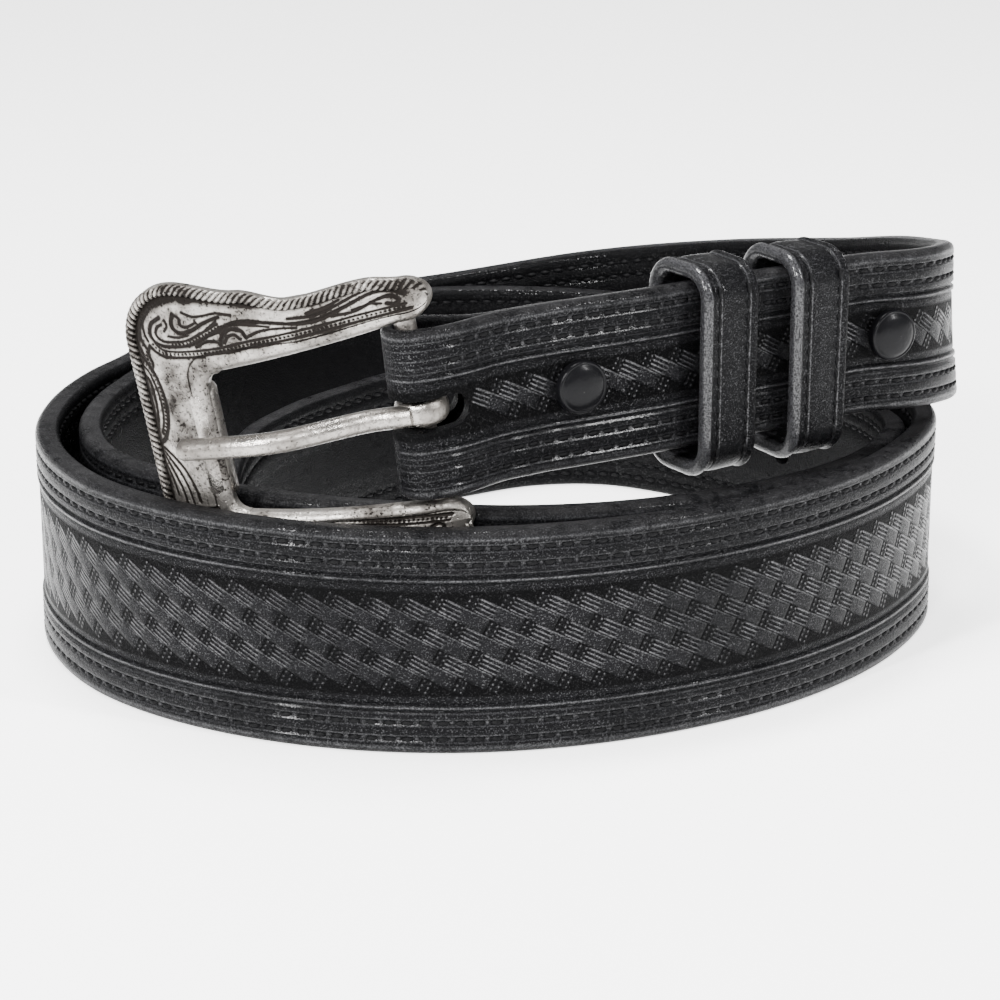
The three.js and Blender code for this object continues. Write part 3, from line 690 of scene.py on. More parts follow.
def silver_finish(settings, name, tarnish, polish, engraved=False):
    """Antique silver: bright where it is rubbed, dark in its cuts and pits, and on the buckle darkened by
    painted shade as well.
    """
    shop = Finish(name, Specular_IOR_Level=0.1)
    cloud, fine = shop.noise(160.0, 4.0, 0.6), shop.noise(1500.0, 4.0, 0.7)
    pits = (1.0 - shop.cells(1300.0).over(0.16, 0.14)).most(1.0 - shop.cells(620.0).over(0.13, 0.1))
    grit = shop.noise(5200.0, 2.0, 0.6)
    dark = (cloud.over(0.53, 0.26) + fine.over(0.6, 0.16) * 0.7 + pits * 0.6) * tarnish
    if engraved:
        # the attribute read here holds patina in the cuts and pits and tarnish on the nose plate, and also
        # painted shade: a shadow line beside the engraved band and shade between the rope's strands
        cut = shop.node("ShaderNodeAttribute", {"attribute_name": "patina"}, out="Fac")
        dark = dark + cut * 1.35
    dark = dark.clamp()
    colour = shop.blend(cloud, settings.silver_bright, settings.silver_warm)
    colour = shop.blend(dark, colour, settings.patina_colour)
    shop.bump(fine * 0.06 - pits * 0.09 + grit * 0.02 + cloud * 0.25)
    rough = polish + dark * 0.3 + fine * 0.14
    shop.wire(Base_Color=colour, Metallic=1.0 - dark * 0.35, Roughness=rough.clamp())
    return shop.material


# ---------------------------------------------------------------- leather strap

# Columns of the leather's section: distance in from the edge, and height over the grain face.
GRAIN_COLUMNS = [
    (1.6, 0), (2.1, -0.04), (2.4, -0.32), (2.7, -0.42), (3.0, -0.32), (3.3, -0.04), (4.1, 0), (4.9, -0.04),
    (5.2, -0.32), (5.5, -0.42), (5.8, -0.32), (6.1, -0.04), (6.9, -0.02), (7.25, -0.4), (7.55, -0.42),
    (7.85, -0.06), (8.15, -0.02), (8.45, -0.1), (8.75, -0.5), (9.2, -0.36),
]
FLESH_COLUMNS = [
    (1.9, 0), (2.4, -0.25), (2.7, -0.32), (3.0, -0.25), (3.6, 0), (5.1, 0), (5.5, -0.3), (5.9, 0), (7.5, 0),
]
EDGE_STEPS = np.radians([0, 22, 45, 68, 90])


def leather_sections(centre, up, out, half, thick, pattern):
    """Rings of points with rounded edges, stitch grooves and a bead, and their two UV maps."""
    rounding = np.minimum(1.25, thick * 0.45)
    squeeze = np.minimum(1.0, half / 11.5)
    columns = []

    def column(sign, inset, height, side):
        columns.append((sign * (half - inset), height, inset, side))

    def rounded(sign, face, angles):
        """The edge from its middle to the grain face (1) or the flesh face (-1)."""
        for phi in angles:
            height = face * (thick / 2 - rounding + rounding * np.sin(phi))
            column(sign, rounding * (1 - np.cos(phi)), height, 0.5 + face * 0.5 * (phi > 0.7))

    def grooved(sign, face, table):
        for inset, height in table:
            column(sign, inset * squeeze, face * (thick / 2 + height * pattern), max(face, 0))

    def middle(face, table, height, shares):
        flat = half - table[-1][0] * squeeze
        for share in shares:
            inset = half - np.abs(flat * share)
            columns.append((flat * share, face * (thick / 2 + height * pattern), inset, max(face, 0)))

    rounded(1, 1, EDGE_STEPS)
    grooved(1, 1, GRAIN_COLUMNS)
    middle(1, GRAIN_COLUMNS, GRAIN_COLUMNS[-1][1], np.linspace(1, -1, 9)[1:-1])
    grooved(-1, 1, reversed(GRAIN_COLUMNS))
    rounded(-1, 1, EDGE_STEPS[::-1])
    rounded(-1, -1, EDGE_STEPS[1:])
    grooved(-1, -1, FLESH_COLUMNS)
    middle(-1, FLESH_COLUMNS, 0.0, (-0.5, 0.0, 0.5))
    grooved(1, -1, reversed(FLESH_COLUMNS))
    rounded(1, -1, EDGE_STEPS[:0:-1])

    shape = (len(centre), len(columns))
    across, height, inset, side = (np.empty(shape) for _ in range(4))
    for k, (a, h, d, flag) in enumerate(columns):
        across[:, k], height[:, k], inset[:, k], side[:, k] = a, h, d, flag
    rings = centre[:, None] + up[:, None] * across[..., None] + out[:, None] * height[..., None]
    return rings, across, inset, side


def strap_rings():
    """The whole strap from the flap's end, round the fold and on to the tip."""
    groups = []

    flap = np.linspace(FLAP_LENGTH, 0, 45)[:-1]
    point, along, up, out = grain_frame(turn_at(flap))
    depth = front_thick(flap) + FIT_GAP + FOLD_THICK / 2 + bulge(flap)
    half = NARROW_WIDTH / 2 - FLAP_INSET * smooth_step(flap / LOOP_RUN)
    thick = np.full(len(flap), FOLD_THICK)
    groups.append((
        point - out * depth[:, None], up, -out, half, thick, -LOOP_CUT - flap, np.zeros(len(flap)),
    ))

    angle = np.linspace(-math.pi / 2, math.pi / 2, 21)[:-1]
    point, along, up, out = (np.repeat(v, len(angle), axis=0) for v in grain_frame(PATH_START))
    ray = out * np.sin(angle)[:, None] - along * np.cos(angle)[:, None]
    axis = point - out * HEEL_DEPTH
    same = np.ones(len(angle))
    groups.append((
        axis + ray * LOOP_RADIUS, up, ray, same * NARROW_WIDTH / 2, same * FOLD_THICK,
        (angle / math.pi - 0.5) * LOOP_CUT, 0.0 * same,
    ))

    length = np.concatenate([
        np.arange(0, 40, 1.0), np.arange(40, STRAP_LENGTH - TIP_POINT, 2.0),
        STRAP_LENGTH - TIP_POINT * np.cos(np.linspace(0, math.pi / 2, 15)),
    ])
    turn = turn_at(length)
    point, along, up, out = grain_frame(turn)
    thick = front_thick(length)
    to_tip = STRAP_LENGTH - length
    pointed = np.sqrt(np.maximum(0, 1 - (1 - np.minimum(to_tip / TIP_POINT, 1)) ** 2))
    half = (TIP_NOSE_WIDTH + (grain_width(turn) - TIP_NOSE_WIDTH) * pointed) / 2
    centre = point + out * (bulge(length) - thick / 2)[:, None]
    groups.append((centre, up, out, half, thick, length, smooth_step((length + 7) / 12)))

    centre, up, out, half, thick, place, pattern = (np.concatenate(part) for part in zip(*groups))
    rings, across, inset, side = leather_sections(centre, up, out, half, thick, pattern)
    cut = np.stack([np.repeat(place[:, None], rings.shape[1], axis=1), across], axis=2) * 0.001
    rim = np.stack([inset, side * 1000], axis=2) * 0.001
    return rings + TO_MIDDLE, cut, rim


def punch(obj, name, matrix, radius, depth, reach=(0.0, 0.0)):
    """Cuts a round or slotted hole through leather, with a boolean that is applied."""
    add = bpy.ops.mesh.primitive_cylinder_add
    cutter = primitive(name, add, vertices=28, radius=radius * 0.001, depth=depth * 0.001)
    shape = get_places(cutter)
    shape[:, 0] += np.where(shape[:, 0] < 0, reach[0], reach[1])
    set_places(cutter, placed(matrix, shape))
    apply_modifier(obj, "BOOLEAN", object=cutter, operation="DIFFERENCE", solver="EXACT")
    bpy.data.objects.remove(cutter, do_unlink=True)


def stitch_matrix(x, y, z, centre):
    matrix = np.eye(4)
    matrix[:3, 0], matrix[:3, 1], matrix[:3, 2], matrix[:3, 3] = x, y, z, centre
    return matrix


def seam_places(rows, pitch, start, stop, outside=True):
    """Places of stitches along rows at distances in from both edges."""
    length = np.arange(start, stop, pitch)
    point, along, up, out = grain_frame(turn_at(length))
    half = grain_width(turn_at(length)) / 2
    if outside:
        height, facing = bulge(length) - GRAIN_SEAM_DEPTH, 1
    else:
        height, facing = bulge(length) - front_thick(length) + FLESH_SEAM_DEPTH, -1
    x = along * math.cos(STITCH_SLANT) + up * math.sin(STITCH_SLANT)
    z = out * facing
    y = np.cross(z, x)
    matrices = []
    for row in rows:
        for sign in (1, -1):
            centre = point + up * (sign * (half - row))[:, None] + out * height[:, None]
            matrices.extend(stitch_matrix(*place) for place in zip(x, y, z, centre))
    return matrices


# ---------------------------------------------------------------- keepers


# A keeper's outer face: place across it, and how far it lies under the full thickness.
KEEPER_COLUMNS = [
    (-4.3, 0.05), (-3.7, 0.5), (-3.3, 0.42), (-2.95, 0.42), (-2.6, 0.62), (-2.25, 0.42), (-1.5, 0.34),
    (0, 0.28), (1.5, 0.34), (3.1, 0.42), (3.45, 0.62), (3.8, 0.42), (4.2, 0.4), (4.6, 0.2),
]


def keeper_rings(at):
    """A loop of leather round the strap, with a rolled rim on both sides and two sewn grooves."""
    stack = float(front_thick(at)) + FIT_GAP + FOLD_THICK
    top, bottom = NARROW_WIDTH / 2 + FIT_GAP, -NARROW_WIDTH / 2 - KEEPER_DROP
    front, back = KEEPER_STAND, -stack - KEEPER_SLACK
    r = KEEPER_BEND
    corners = [
        (top - r, front - r, 0), (bottom + r, front - r, 90),
        (bottom + r, back + r, 180), (top - r, back + r, 270),
    ]
    loop = []
    for k, (a, b, start) in enumerate(corners):
        for phi in np.radians(np.linspace(start, start + 90, 11)):
            loop.append((a, b, math.cos(phi), math.sin(phi)))
        a2, b2, _ = corners[(k + 1) % 4]
        for share in np.linspace(0, 1, 12)[1:-1]:
            phi = math.radians(start + 90)
            loop.append((a + (a2 - a) * share, b + (b2 - b) * share, math.cos(phi), math.sin(phi)))
    half, core = KEEPER_WIDTH / 2, KEEPER_THICK / 2
    phi = np.radians(np.linspace(-90, 90, 9))
    front_rim = np.column_stack([KEEPER_RIM_FRONT * (1 - np.cos(phi)) - half, core * (1 + np.sin(phi))])
    rear_rim = np.column_stack([
        half - KEEPER_RIM_REAR * (1 - np.cos(phi)), core + (core - 0.1) * np.sin(phi),
    ])
    face = [(w, KEEPER_THICK - drop) for w, drop in KEEPER_COLUMNS]
    section = np.vstack([front_rim, face, rear_rim[::-1], [(3.0, 0.0), (0.0, 0.0), (-3.0, 0.0)]])
    point, along, up, out = grain_frame(turn_at(at + section[:, 0]))
    rings = np.empty((len(loop), len(section), 3))
    for i, (a, b, na, nb) in enumerate(loop):
        across = a + na * (KEEPER_BEND + section[:, 1])
        outward = b + nb * (KEEPER_BEND + section[:, 1])
        rings[i] = point + up * across[:, None] + out * outward[:, None]
    run = np.arange(len(loop))[:, None] * 0.8
    cut = np.stack(np.broadcast_arrays(run, section[None, :, 0]), axis=2) * 0.001
    return rings + TO_MIDDLE, cut


def keeper_seams(at):
    """Stitches up the front of a keeper."""
    matrices = []
    for w in KEEPER_SEAMS:
        point, along, up, out = (v[0] for v in grain_frame(turn_at(at + w)))
        for across in np.arange(-NARROW_WIDTH / 2 - 0.5, NARROW_WIDTH / 2 + 0.8, KEEPER_STITCH_PITCH):
            centre = point + up * across + out * (KEEPER_STAND + KEEPER_THICK - 0.5)
            matrices.append(stitch_matrix(up, -along, out, centre))
    return matrices


# ---------------------------------------------------------------- buckle


def bow_height(x):
    middle = (FRAME_WING_REACH - FRAME_NOSE_REACH) / 2
    half = (FRAME_WING_REACH + FRAME_NOSE_REACH) / 2
    return FRAME_RISE + FRAME_BOW * ((middle / half) ** 2 - ((x - middle) / half) ** 2)


SCALLOP = [(0, 0), (0.3, -0.067), (0.52, -0.143), (0.86, -0.086), (1, -0.115)]


def scallop(share):
    for (start, low), (stop, high) in zip(SCALLOP, SCALLOP[1:]):
        if share <= stop:
            height = low + (high - low) * smooth_step((share - start) / (stop - start))
            return height * FRAME_HEIGHT / 2
    return SCALLOP[-1][1] * FRAME_HEIGHT / 2


def frame_stations(side):
    """Inner and outer edge points of the upper (1) or lower (-1) half, from the nose to a wing."""
    outer_y = FRAME_HEIGHT / 2
    window_nose = WINDOW_NOSE_HEIGHT / 2 - side * WINDOW_NOSE_DROP
    slope = (WINDOW_HEIGHT / 2 - window_nose) / WINDOW_REACH
    bend = WINDOW_ROUNDING
    stations = []
    for share in np.linspace(0, 1, 61)[:-1]:
        inner_y, outer = (window_nose - bend) * share, (outer_y - CORNER_RADIUS) * share
        stations.append((-WINDOW_REACH, inner_y, -FRAME_NOSE_REACH, outer))
    for share in np.linspace(0, 1, 81)[:-1]:
        angle = math.pi - (math.pi / 2) * share
        stations.append((
            -WINDOW_REACH + bend + bend * math.cos(angle), window_nose - bend + bend * math.sin(angle),
            -FRAME_NOSE_REACH + CORNER_RADIUS + CORNER_RADIUS * math.cos(angle),
            outer_y - CORNER_RADIUS + CORNER_RADIUS * math.sin(angle),
        ))
    limb_start, window_start = CORNER_RADIUS - FRAME_NOSE_REACH, bend - WINDOW_REACH
    wing_start = FRAME_WING_REACH - WING_ROUNDING
    for share in np.linspace(0, 1, 181)[:-1]:
        outer_x = limb_start + (wing_start - limb_start) * share
        inner_x = window_start + (wing_start - window_start) * share
        inner_y = min(window_nose + (inner_x + WINDOW_REACH) * slope, WINDOW_HEIGHT / 2)
        stations.append((inner_x, inner_y, outer_x, outer_y + scallop(share)))
    for share in np.linspace(0, 1, 25):
        angle = (math.pi / 2) * share * 0.97
        x = wing_start + WING_ROUNDING * math.sin(angle)
        wing_y = outer_y + scallop(1)
        middle, half = (wing_y + WINDOW_HEIGHT / 2) / 2, (wing_y - WINDOW_HEIGHT / 2) / 2
        stations.append((x, middle - half * math.cos(angle), x, middle + half * math.cos(angle)))
    return np.array(stations) * np.array([1, side, 1, side])


def flowing(points, steps=14):
    """A smooth line through given points."""
    p = np.array(points, float)
    if len(p) < 3:
        return np.linspace(p[0], p[-1], steps)
    ends = np.vstack([2 * p[0] - p[1], p, 2 * p[-1] - p[-2]])
    t = np.linspace(0, 1, steps)[:-1, None]
    parts = []
    for a, b, c, d in zip(ends, ends[1:], ends[2:], ends[3:]):
        square, cube = 2 * a - 5 * b + 4 * c - d, 3 * b - a - 3 * c + d
        parts.append(0.5 * (2 * b + (c - a) * t + square * t**2 + cube * t**3))
    return np.vstack(parts + [p[-1:]])


# Scrolls cut into the upper half of the frame: width and depth of the cut, then its points.
CUTS = [
    # border along the window's bevel, and its second line
    (0.34, 0.26, [(-42.4, 15.2), (-41.2, 14.0), (-39.2, 13.3), (-34.7, 13.2), (-29.3, 13.7),
        (-24.4, 14.5), (-18.4, 15.2), (-12, 16.0), (-5, 16.9), (2.4, 17.6)]),
    (0.26, 0.18, [(-41.6, 16.2), (-40.6, 14.9), (-38.8, 14.3), (-34.7, 14.25), (-29.3, 14.75),
        (-24.4, 15.6), (-18.4, 16.3), (-12, 17.1), (-5, 18.0), (1.8, 18.5)]),
    # great leaf from the corner to the limb's middle
    (0.42, 0.34, [(-39.4, 20.0), (-41.2, 18.9), (-41.8, 17.1), (-41.0, 15.7), (-38.8, 15.1),
        (-35.3, 15.2), (-32.0, 16.4), (-27.9, 18.3), (-24.4, 19.0), (-20.4, 18.5)]),
    (0.30, 0.22, [(-39.2, 18.9), (-40.3, 18.2), (-40.6, 17.0), (-39.6, 16.1), (-37.6, 15.9),
        (-35.2, 16.1), (-32.4, 17.2), (-28.8, 18.9)]),
    (0.42, 0.34, [(-36.6, 20.6), (-37.2, 19.3), (-36.9, 18.0), (-35.6, 17.4), (-33.6, 17.9),
        (-31.2, 19.1), (-28.4, 20.0)]),
    (0.28, 0.2, [(-36.6, 20.6), (-35.6, 19.9), (-35.5, 18.8), (-34.4, 18.5), (-32.6, 19.2)]),
    (0.30, 0.2, [(-34.9, 20.9), (-33.0, 20.2), (-31.0, 20.3), (-28.9, 20.6), (-26.2, 20.2)]),
    (0.26, 0.16, [(-38.2, 16.9), (-36.4, 16.7), (-34.6, 17.0)]),
    (0.26, 0.16, [(-38.9, 17.7), (-38.2, 18.6), (-38.4, 19.6)]),
    # hooked leaf under it
    (0.40, 0.34, [(-28.9, 15.4), (-28.2, 17.0), (-26.6, 17.9), (-24.9, 17.5), (-24.3, 16.3)]),
    (0.28, 0.2, [(-28.2, 15.6), (-27.3, 16.7), (-26.1, 16.9), (-25.3, 16.1)]),
    (0.34, 0.28, [(-33.5, 15.0), (-31.5, 15.9), (-29.6, 15.8), (-28.9, 15.2)]),
    (0.30, 0.22, [(-24.3, 16.3), (-21.8, 17.2), (-18.8, 17.4), (-15.6, 17.2)]),
    # long leaf out to the wing
    (0.42, 0.32, [(-20.4, 18.5), (-16.0, 17.9), (-11.6, 18.2), (-7.4, 19.6), (-3.4, 21.0),
        (-0.2, 21.2), (1.8, 20.2)]),
    (0.30, 0.22, [(-16.8, 18.8), (-12.6, 18.9), (-9.0, 19.9), (-5.4, 21.2), (-2.6, 21.9)]),
    (0.34, 0.28, [(-9.6, 18.4), (-6.0, 18.6), (-2.8, 19.8), (-0.4, 20.2), (0.9, 19.4), (0.2, 18.8),
        (-1.0, 19.1)]),
    (0.26, 0.18, [(-6.4, 18.9), (-3.6, 19.4), (-1.8, 19.2)]),
    (0.26, 0.18, [(-13.6, 19.4), (-10.6, 19.9), (-8.2, 20.8)]),
    # veins
    (0.24, 0.14, [(-34.4, 16.2), (-31.6, 17.6), (-28.9, 19.4)]),
    (0.24, 0.14, [(-33.4, 16.0), (-30.2, 17.0), (-27.0, 18.1)]),
    (0.24, 0.14, [(-26.2, 18.7), (-23.0, 18.3), (-20.0, 17.8)]),
    # corner feathers
    (0.34, 0.26, [(-42.6, 20.2), (-43.8, 18.2), (-44.0, 16.2), (-43.2, 14.6)]),
    (0.28, 0.2, [(-41.6, 20.9), (-42.9, 19.0), (-43.0, 17.2), (-42.5, 15.9)]),
    (0.26, 0.18, [(-44.6, 18.2), (-45.0, 16.0), (-44.2, 13.8)]),
    (0.34, 0.26, [(-42.4, 15.2), (-43.0, 13.6), (-42.6, 12.0), (-43.2, 10.6)]),
    (0.28, 0.2, [(-44.4, 14.6), (-44.0, 12.8), (-43.4, 11.0)]),
    # long arcs down the nose, with feathers inside them
    (0.40, 0.32, [(-44.8, 13.2), (-43.2, 11.2), (-42.2, 8.4), (-41.8, 5.2), (-42.2, 2.0),
        (-43.4, -0.8), (-44.9, -2.2)]),
    (0.28, 0.2, [(-45.0, 11.6), (-43.9, 10.4), (-43.1, 8.0), (-42.8, 5.2), (-43.1, 2.2),
        (-44.0, -0.2)]),
    (0.34, 0.28, [(-45.3, 9.6), (-44.4, 9.4), (-43.9, 7.6), (-43.9, 5.0), (-44.2, 2.4),
        (-44.8, 0.4)]),
    (0.30, 0.24, [(-45.3, 7.0), (-44.8, 6.4), (-44.6, 4.6), (-44.8, 2.8), (-45.1, 1.4)]),
    (0.26, 0.18, [(-45.2, 4.8), (-45.0, 3.8), (-45.1, 2.6)]),
    # fan under them
    (0.34, 0.26, [(-45.0, -2.4), (-43.2, -3.8), (-41.2, -6.2), (-40.0, -9.0), (-39.4, -12.0)]),
    (0.30, 0.22, [(-45.1, -2.8), (-43.8, -4.4), (-42.2, -6.9), (-41.2, -9.6), (-40.7, -12.4)]),
    (0.30, 0.22, [(-45.2, -3.3), (-44.3, -5.0), (-43.2, -7.6), (-42.4, -10.2), (-42.0, -12.8)]),
    (0.28, 0.2, [(-45.3, -4.0), (-44.7, -6.0), (-44.0, -8.4), (-43.6, -11.0)]),
]
# Rows of punched dots: pitch between dots, then the line that they follow.
DOTS = [
    (0.72, [(-41.9, 15.7), (-40.9, 14.5), (-39.0, 13.8), (-34.7, 13.75), (-29.3, 14.2),
        (-24.4, 15.05), (-18.4, 15.75), (-12, 16.55), (-5, 17.45), (2.0, 18.05)]),
    (0.70, [(-38.2, 15.5), (-35.2, 15.6), (-32.2, 16.8), (-28.2, 18.6)]),
    (0.70, [(-44.9, 12.4), (-43.5, 10.8), (-42.6, 8.2), (-42.3, 5.2), (-42.6, 2.1),
        (-43.7, -0.5)]),
    (0.66, [(-42.9, 14.9), (-43.5, 13.4), (-43.1, 11.4)]),
]


def line_distance(points, line):
    """Distance of each flat point from a polyline."""
    best = np.full(len(points), 1e9)
    for a, b in zip(line[:-1], line[1:]):
        ab = b - a
        t = np.clip((points - a) @ ab / max(ab @ ab, 1e-9), 0, 1)
        best = np.minimum(best, np.linalg.norm(points - (a + t[:, None] * ab), axis=1))
    return best


def near(points, line, reach):
    low, high = line.min(axis=0) - reach, line.max(axis=0) + reach
    return np.flatnonzero(np.all((points >= low) & (points <= high), axis=1))


def engrave(points):
    """How deep each flat place of the frame's face is cut, and how dark the cut has gone."""
    depth, dark = np.zeros(len(points)), np.zeros(len(points))
    for width, deep, shape in CUTS:
        line = flowing(shape)
        some = near(points, line, width * 2)
        gap = line_distance(points[some], line)
        cut = np.clip(1 - gap / (width * 1.15), 0, 1)
        lip = np.exp(-(((gap - width * 1.35) / 0.16) ** 2))
        depth[some] = np.maximum(depth[some], deep * cut) - 0.05 * lip * (cut <= 0)
        dark[some] = np.maximum(dark[some], np.clip(1.25 - gap / width, 0, 1))
    for pitch, shape in DOTS:
        line = flowing(shape)
        run = np.concatenate([[0], np.cumsum(np.linalg.norm(np.diff(line, axis=0), axis=1))])
        marks = np.arange(pitch / 2, run[-1], pitch)
        spots = np.stack([np.interp(marks, run, line[:, 0]), np.interp(marks, run, line[:, 1])], axis=1)
        some = near(points, line, 0.6)
        gap = np.min(np.linalg.norm(points[some][:, None] - spots[None], axis=2), axis=1)
        depth[some] = np.maximum(depth[some], 0.3 * np.clip(1 - gap / 0.34, 0, 1) ** 0.8)
        dark[some] = np.maximum(dark[some], np.clip(1.3 - gap / 0.26, 0, 1))
    return depth, dark


# Top of the frame from the window (0) to the rim (1): heights in thicknesses.
FACE = [
    (0, 0.06), (0.03, 0.2), (0.08, 0.32), (0.14, 0.38), (0.2, 0.37), (0.225, 0.3), (0.25, 0.37),
    (0.5, 0.44), (0.72, 0.4), (0.82, 0.33), (0.86, 0.22), (0.9, 0.1),
]
# Its rim, back and window edge, in the same way.
UNDER = [
    (0.96, 0.1), (1.0, 0.02), (1.0, -0.36), (0.97, -0.45), (0.5, -0.45), (0.03, -0.45), (0, -0.38), (0, -0.1),
]
SHADOW_LINE = 0.225


def frame_rings(depth_scale):
    """Rings across the frame's limbs with the engraving cut in, and how dark each place is: patina, tarnish
    and a painted shadow line.
    """
    stations = np.vstack([frame_stations(-1)[1:][::-1], frame_stations(1)])
    top = np.concatenate([np.linspace(0, 0.24, 14)[:-1], np.linspace(0.24, 0.9, 62)])
    under_share, under_rise = np.array(UNDER).T
    across = np.concatenate([top, under_share])
    rise = np.concatenate([np.interp(top, *np.array(FACE).T), under_rise])
    inner, outer = stations[:, None, :2], stations[:, None, 2:]
    flat = inner + (outer - inner) * across[None, :, None]
    height = bow_height(flat[..., 0]) + rise[None] * FRAME_THICK
    face = np.zeros(flat.shape[:2], bool)
    face[:, :len(top)] = True
    folded = flat[face].copy()
    nose = (folded[:, 0] < -38.5) & (np.abs(folded[:, 1]) < 14.5)
    folded[:, 1] = np.where(nose, folded[:, 1], np.abs(folded[:, 1]))
    share = np.broadcast_to(across[None], flat.shape[:2])[face]
    depth, dark = (np.where(share > 0.2, value, 0) for value in engrave(folded))
    # a shadow line beside the engraved band, and soot in the hollow by the rope
    dark = np.maximum(dark, np.exp(-(((share - SHADOW_LINE) / 0.014) ** 2)) * 0.8)
    dark = np.maximum(dark, np.clip((share - 0.78) / 0.08, 0, 1) * 0.85)
    height[face] -= depth * depth_scale
    # the plate by the nose bar is rubbed least, so it has gone brown
    plate = smooth_step((folded[:, 0] + 42.5) / 2) * smooth_step((13.5 - np.abs(folded[:, 1])) / 2)
    plate *= folded[:, 0] < -30
    paint = np.zeros(flat.shape[:2])
    paint[face] = np.maximum(dark, 0.26 * plate)
    rings = np.concatenate([flat, height[..., None]], axis=2)
    return placed(BUCKLE, rings.reshape(-1, 3)).reshape(rings.shape), paint


def rope_rings(pitch):
    """A twisted cord of silver along the frame's outer edge, with painted shade between its strands."""
    stations = np.vstack([frame_stations(-1)[1:-1][::-1], frame_stations(1)[:-1]])
    inner, outer = stations[:, :2], stations[:, 2:]
    middle = outer + unit(inner - outer) * ROPE_INSET
    line = np.column_stack([middle, bow_height(middle[:, 0]) + 0.17 * FRAME_THICK])
    run = np.concatenate([[0], np.cumsum(np.linalg.norm(np.diff(line, axis=0), axis=1))])
    places = np.arange(0.3, run[-1] - 0.3, pitch / 8)
    line = np.stack([np.interp(places, run, line[:, k]) for k in range(3)], axis=1)
    tangent = unit(np.gradient(line, axis=0))
    lift = unit(np.array([0.0, 0.0, 1.0]) - tangent * tangent[:, 2:3])
    across = np.cross(tangent, lift)
    around = np.linspace(0, 2 * math.pi, 17)[:-1]
    twist = places[:, None] / pitch * 2 * math.pi + ROPE_STRANDS * around[None]
    lobe = np.abs(np.cos(twist / 2))
    taper = np.clip(np.minimum(places - places[0], places[-1] - places) / 1.5, 0.15, 1)[:, None]
    radius = (ROPE_RADIUS + ROPE_LOBE * lobe**0.8) * taper
    cos, sin = np.cos(around)[None, :, None], np.sin(around)[None, :, None]
    ray = lift[:, None] * cos + across[:, None] * sin
    rings = line[:, None] + ray * radius[..., None]
    # the second value is painted shade, darkest between the rope's strands
    return placed(BUCKLE, rings.reshape(-1, 3)).reshape(rings.shape), 0.95 * (1 - lobe) ** 1.5


def nose_bar_height():
    return bow_height(-WINDOW_REACH) + FRAME_THICK * 0.2


def rod(name, route, radii, sides=24):
    """A rod in the buckle's middle plane: a disc extruded ring by ring along its route."""
    obj = disc(name, sides, 1.0)
    edit(obj, lambda: [extrude(1.0) for _ in route[1:]])
    shape = get_places(obj)
    k = np.clip(np.rint(shape[:, 2]).astype(int), 0, len(route) - 1)
    tangent = unit(np.gradient(route, axis=0))
    lift = np.stack([-tangent[:, 1], tangent[:, 0]], axis=1)
    lift = np.where(lift[:, 1:] < 0, -lift, lift)
    away = shape[:, 0] * radii[k]
    aside = route[k, 0] * math.tan(math.radians(PRONG_SLANT_DEG)) + shape[:, 1] * radii[k]
    set_places(obj, placed(BUCKLE, np.column_stack([
        route[k, 0] + lift[k, 0] * away, aside, route[k, 1] + lift[k, 1] * away,
    ])))
    edit(obj, face_outward)
    smooth(obj, 60)
    return obj


def cross_bar(name, sides, radius, reach, bevel, segments, carried):
    """A bar across the buckle with rounded ends, carried to its place by a function."""
    add = bpy.ops.mesh.primitive_cylinder_add
    bar = primitive(name, add, vertices=sides, radius=radius * 0.001, depth=2 * reach * 0.001)
    edit(bar, lambda: quarter_turn("X"))
    bend = {"limit_method": "ANGLE", "angle_limit": 1.0}
    apply_modifier(bar, "BEVEL", width=bevel * 0.001, segments=segments, **bend)
    set_places(bar, placed(BUCKLE, carried(get_places(bar))))
    smooth(bar, 50)
    return bar


# ---------------------------------------------------------------- settings


def length_setting(name, description, default):
    return bpy.props.FloatProperty(name=name, description=description, default=default, unit="LENGTH")


def number_setting(name, description, default, **more):
    return bpy.props.FloatProperty(name=name, description=description, default=default, **more)


def colour_setting(name, description, default):
    return bpy.props.FloatVectorProperty(
        name=name, description=description, default=default, subtype="COLOR", min=0, max=1
    )


class BeltLeatherSettings(bpy.types.PropertyGroup):
    weave_length: length_setting("Weave length", "Half the distance between strands in a row", 0.00505)
    weave_row: length_setting("Weave row", "Distance between the rows of the stamped weave", 0.00272)
    weave_depth: length_setting("Weave depth", "Depth of the stamped weave", 0.00075)
    panel_inset: length_setting("Panel inset", "Distance from the strap's edge to the weave", 0.0104)
    stitch_pitch: length_setting("Stitch pitch", "Distance from one stitch to the next", 0.0029)
    stitch_length: length_setting("Stitch length", "Thread that shows in one stitch", 0.0023)
    thread_thick: length_setting("Thread", "Thickness of the thread", 0.00095)


class BeltSilverSettings(bpy.types.PropertyGroup):
    silver_bright: colour_setting("Rubbed silver", "Where the plate is bright", (0.38, 0.368, 0.35))
    silver_warm: colour_setting("Warm silver", "Its warmer patches", (0.2, 0.176, 0.152))
    # The patina colour is also the colour of the painted shade on the frame and the rope.
    patina_colour: colour_setting("Patina", "In the cuts and pits", (0.009, 0.0075, 0.0065))
    cut_depth: number_setting("Cut depth", "A share of the engraving's drawn depth", 1.0, min=0, max=2)
    rope_pitch: length_setting("Rope pitch", "Distance between strands of the rope rim", 0.00105)


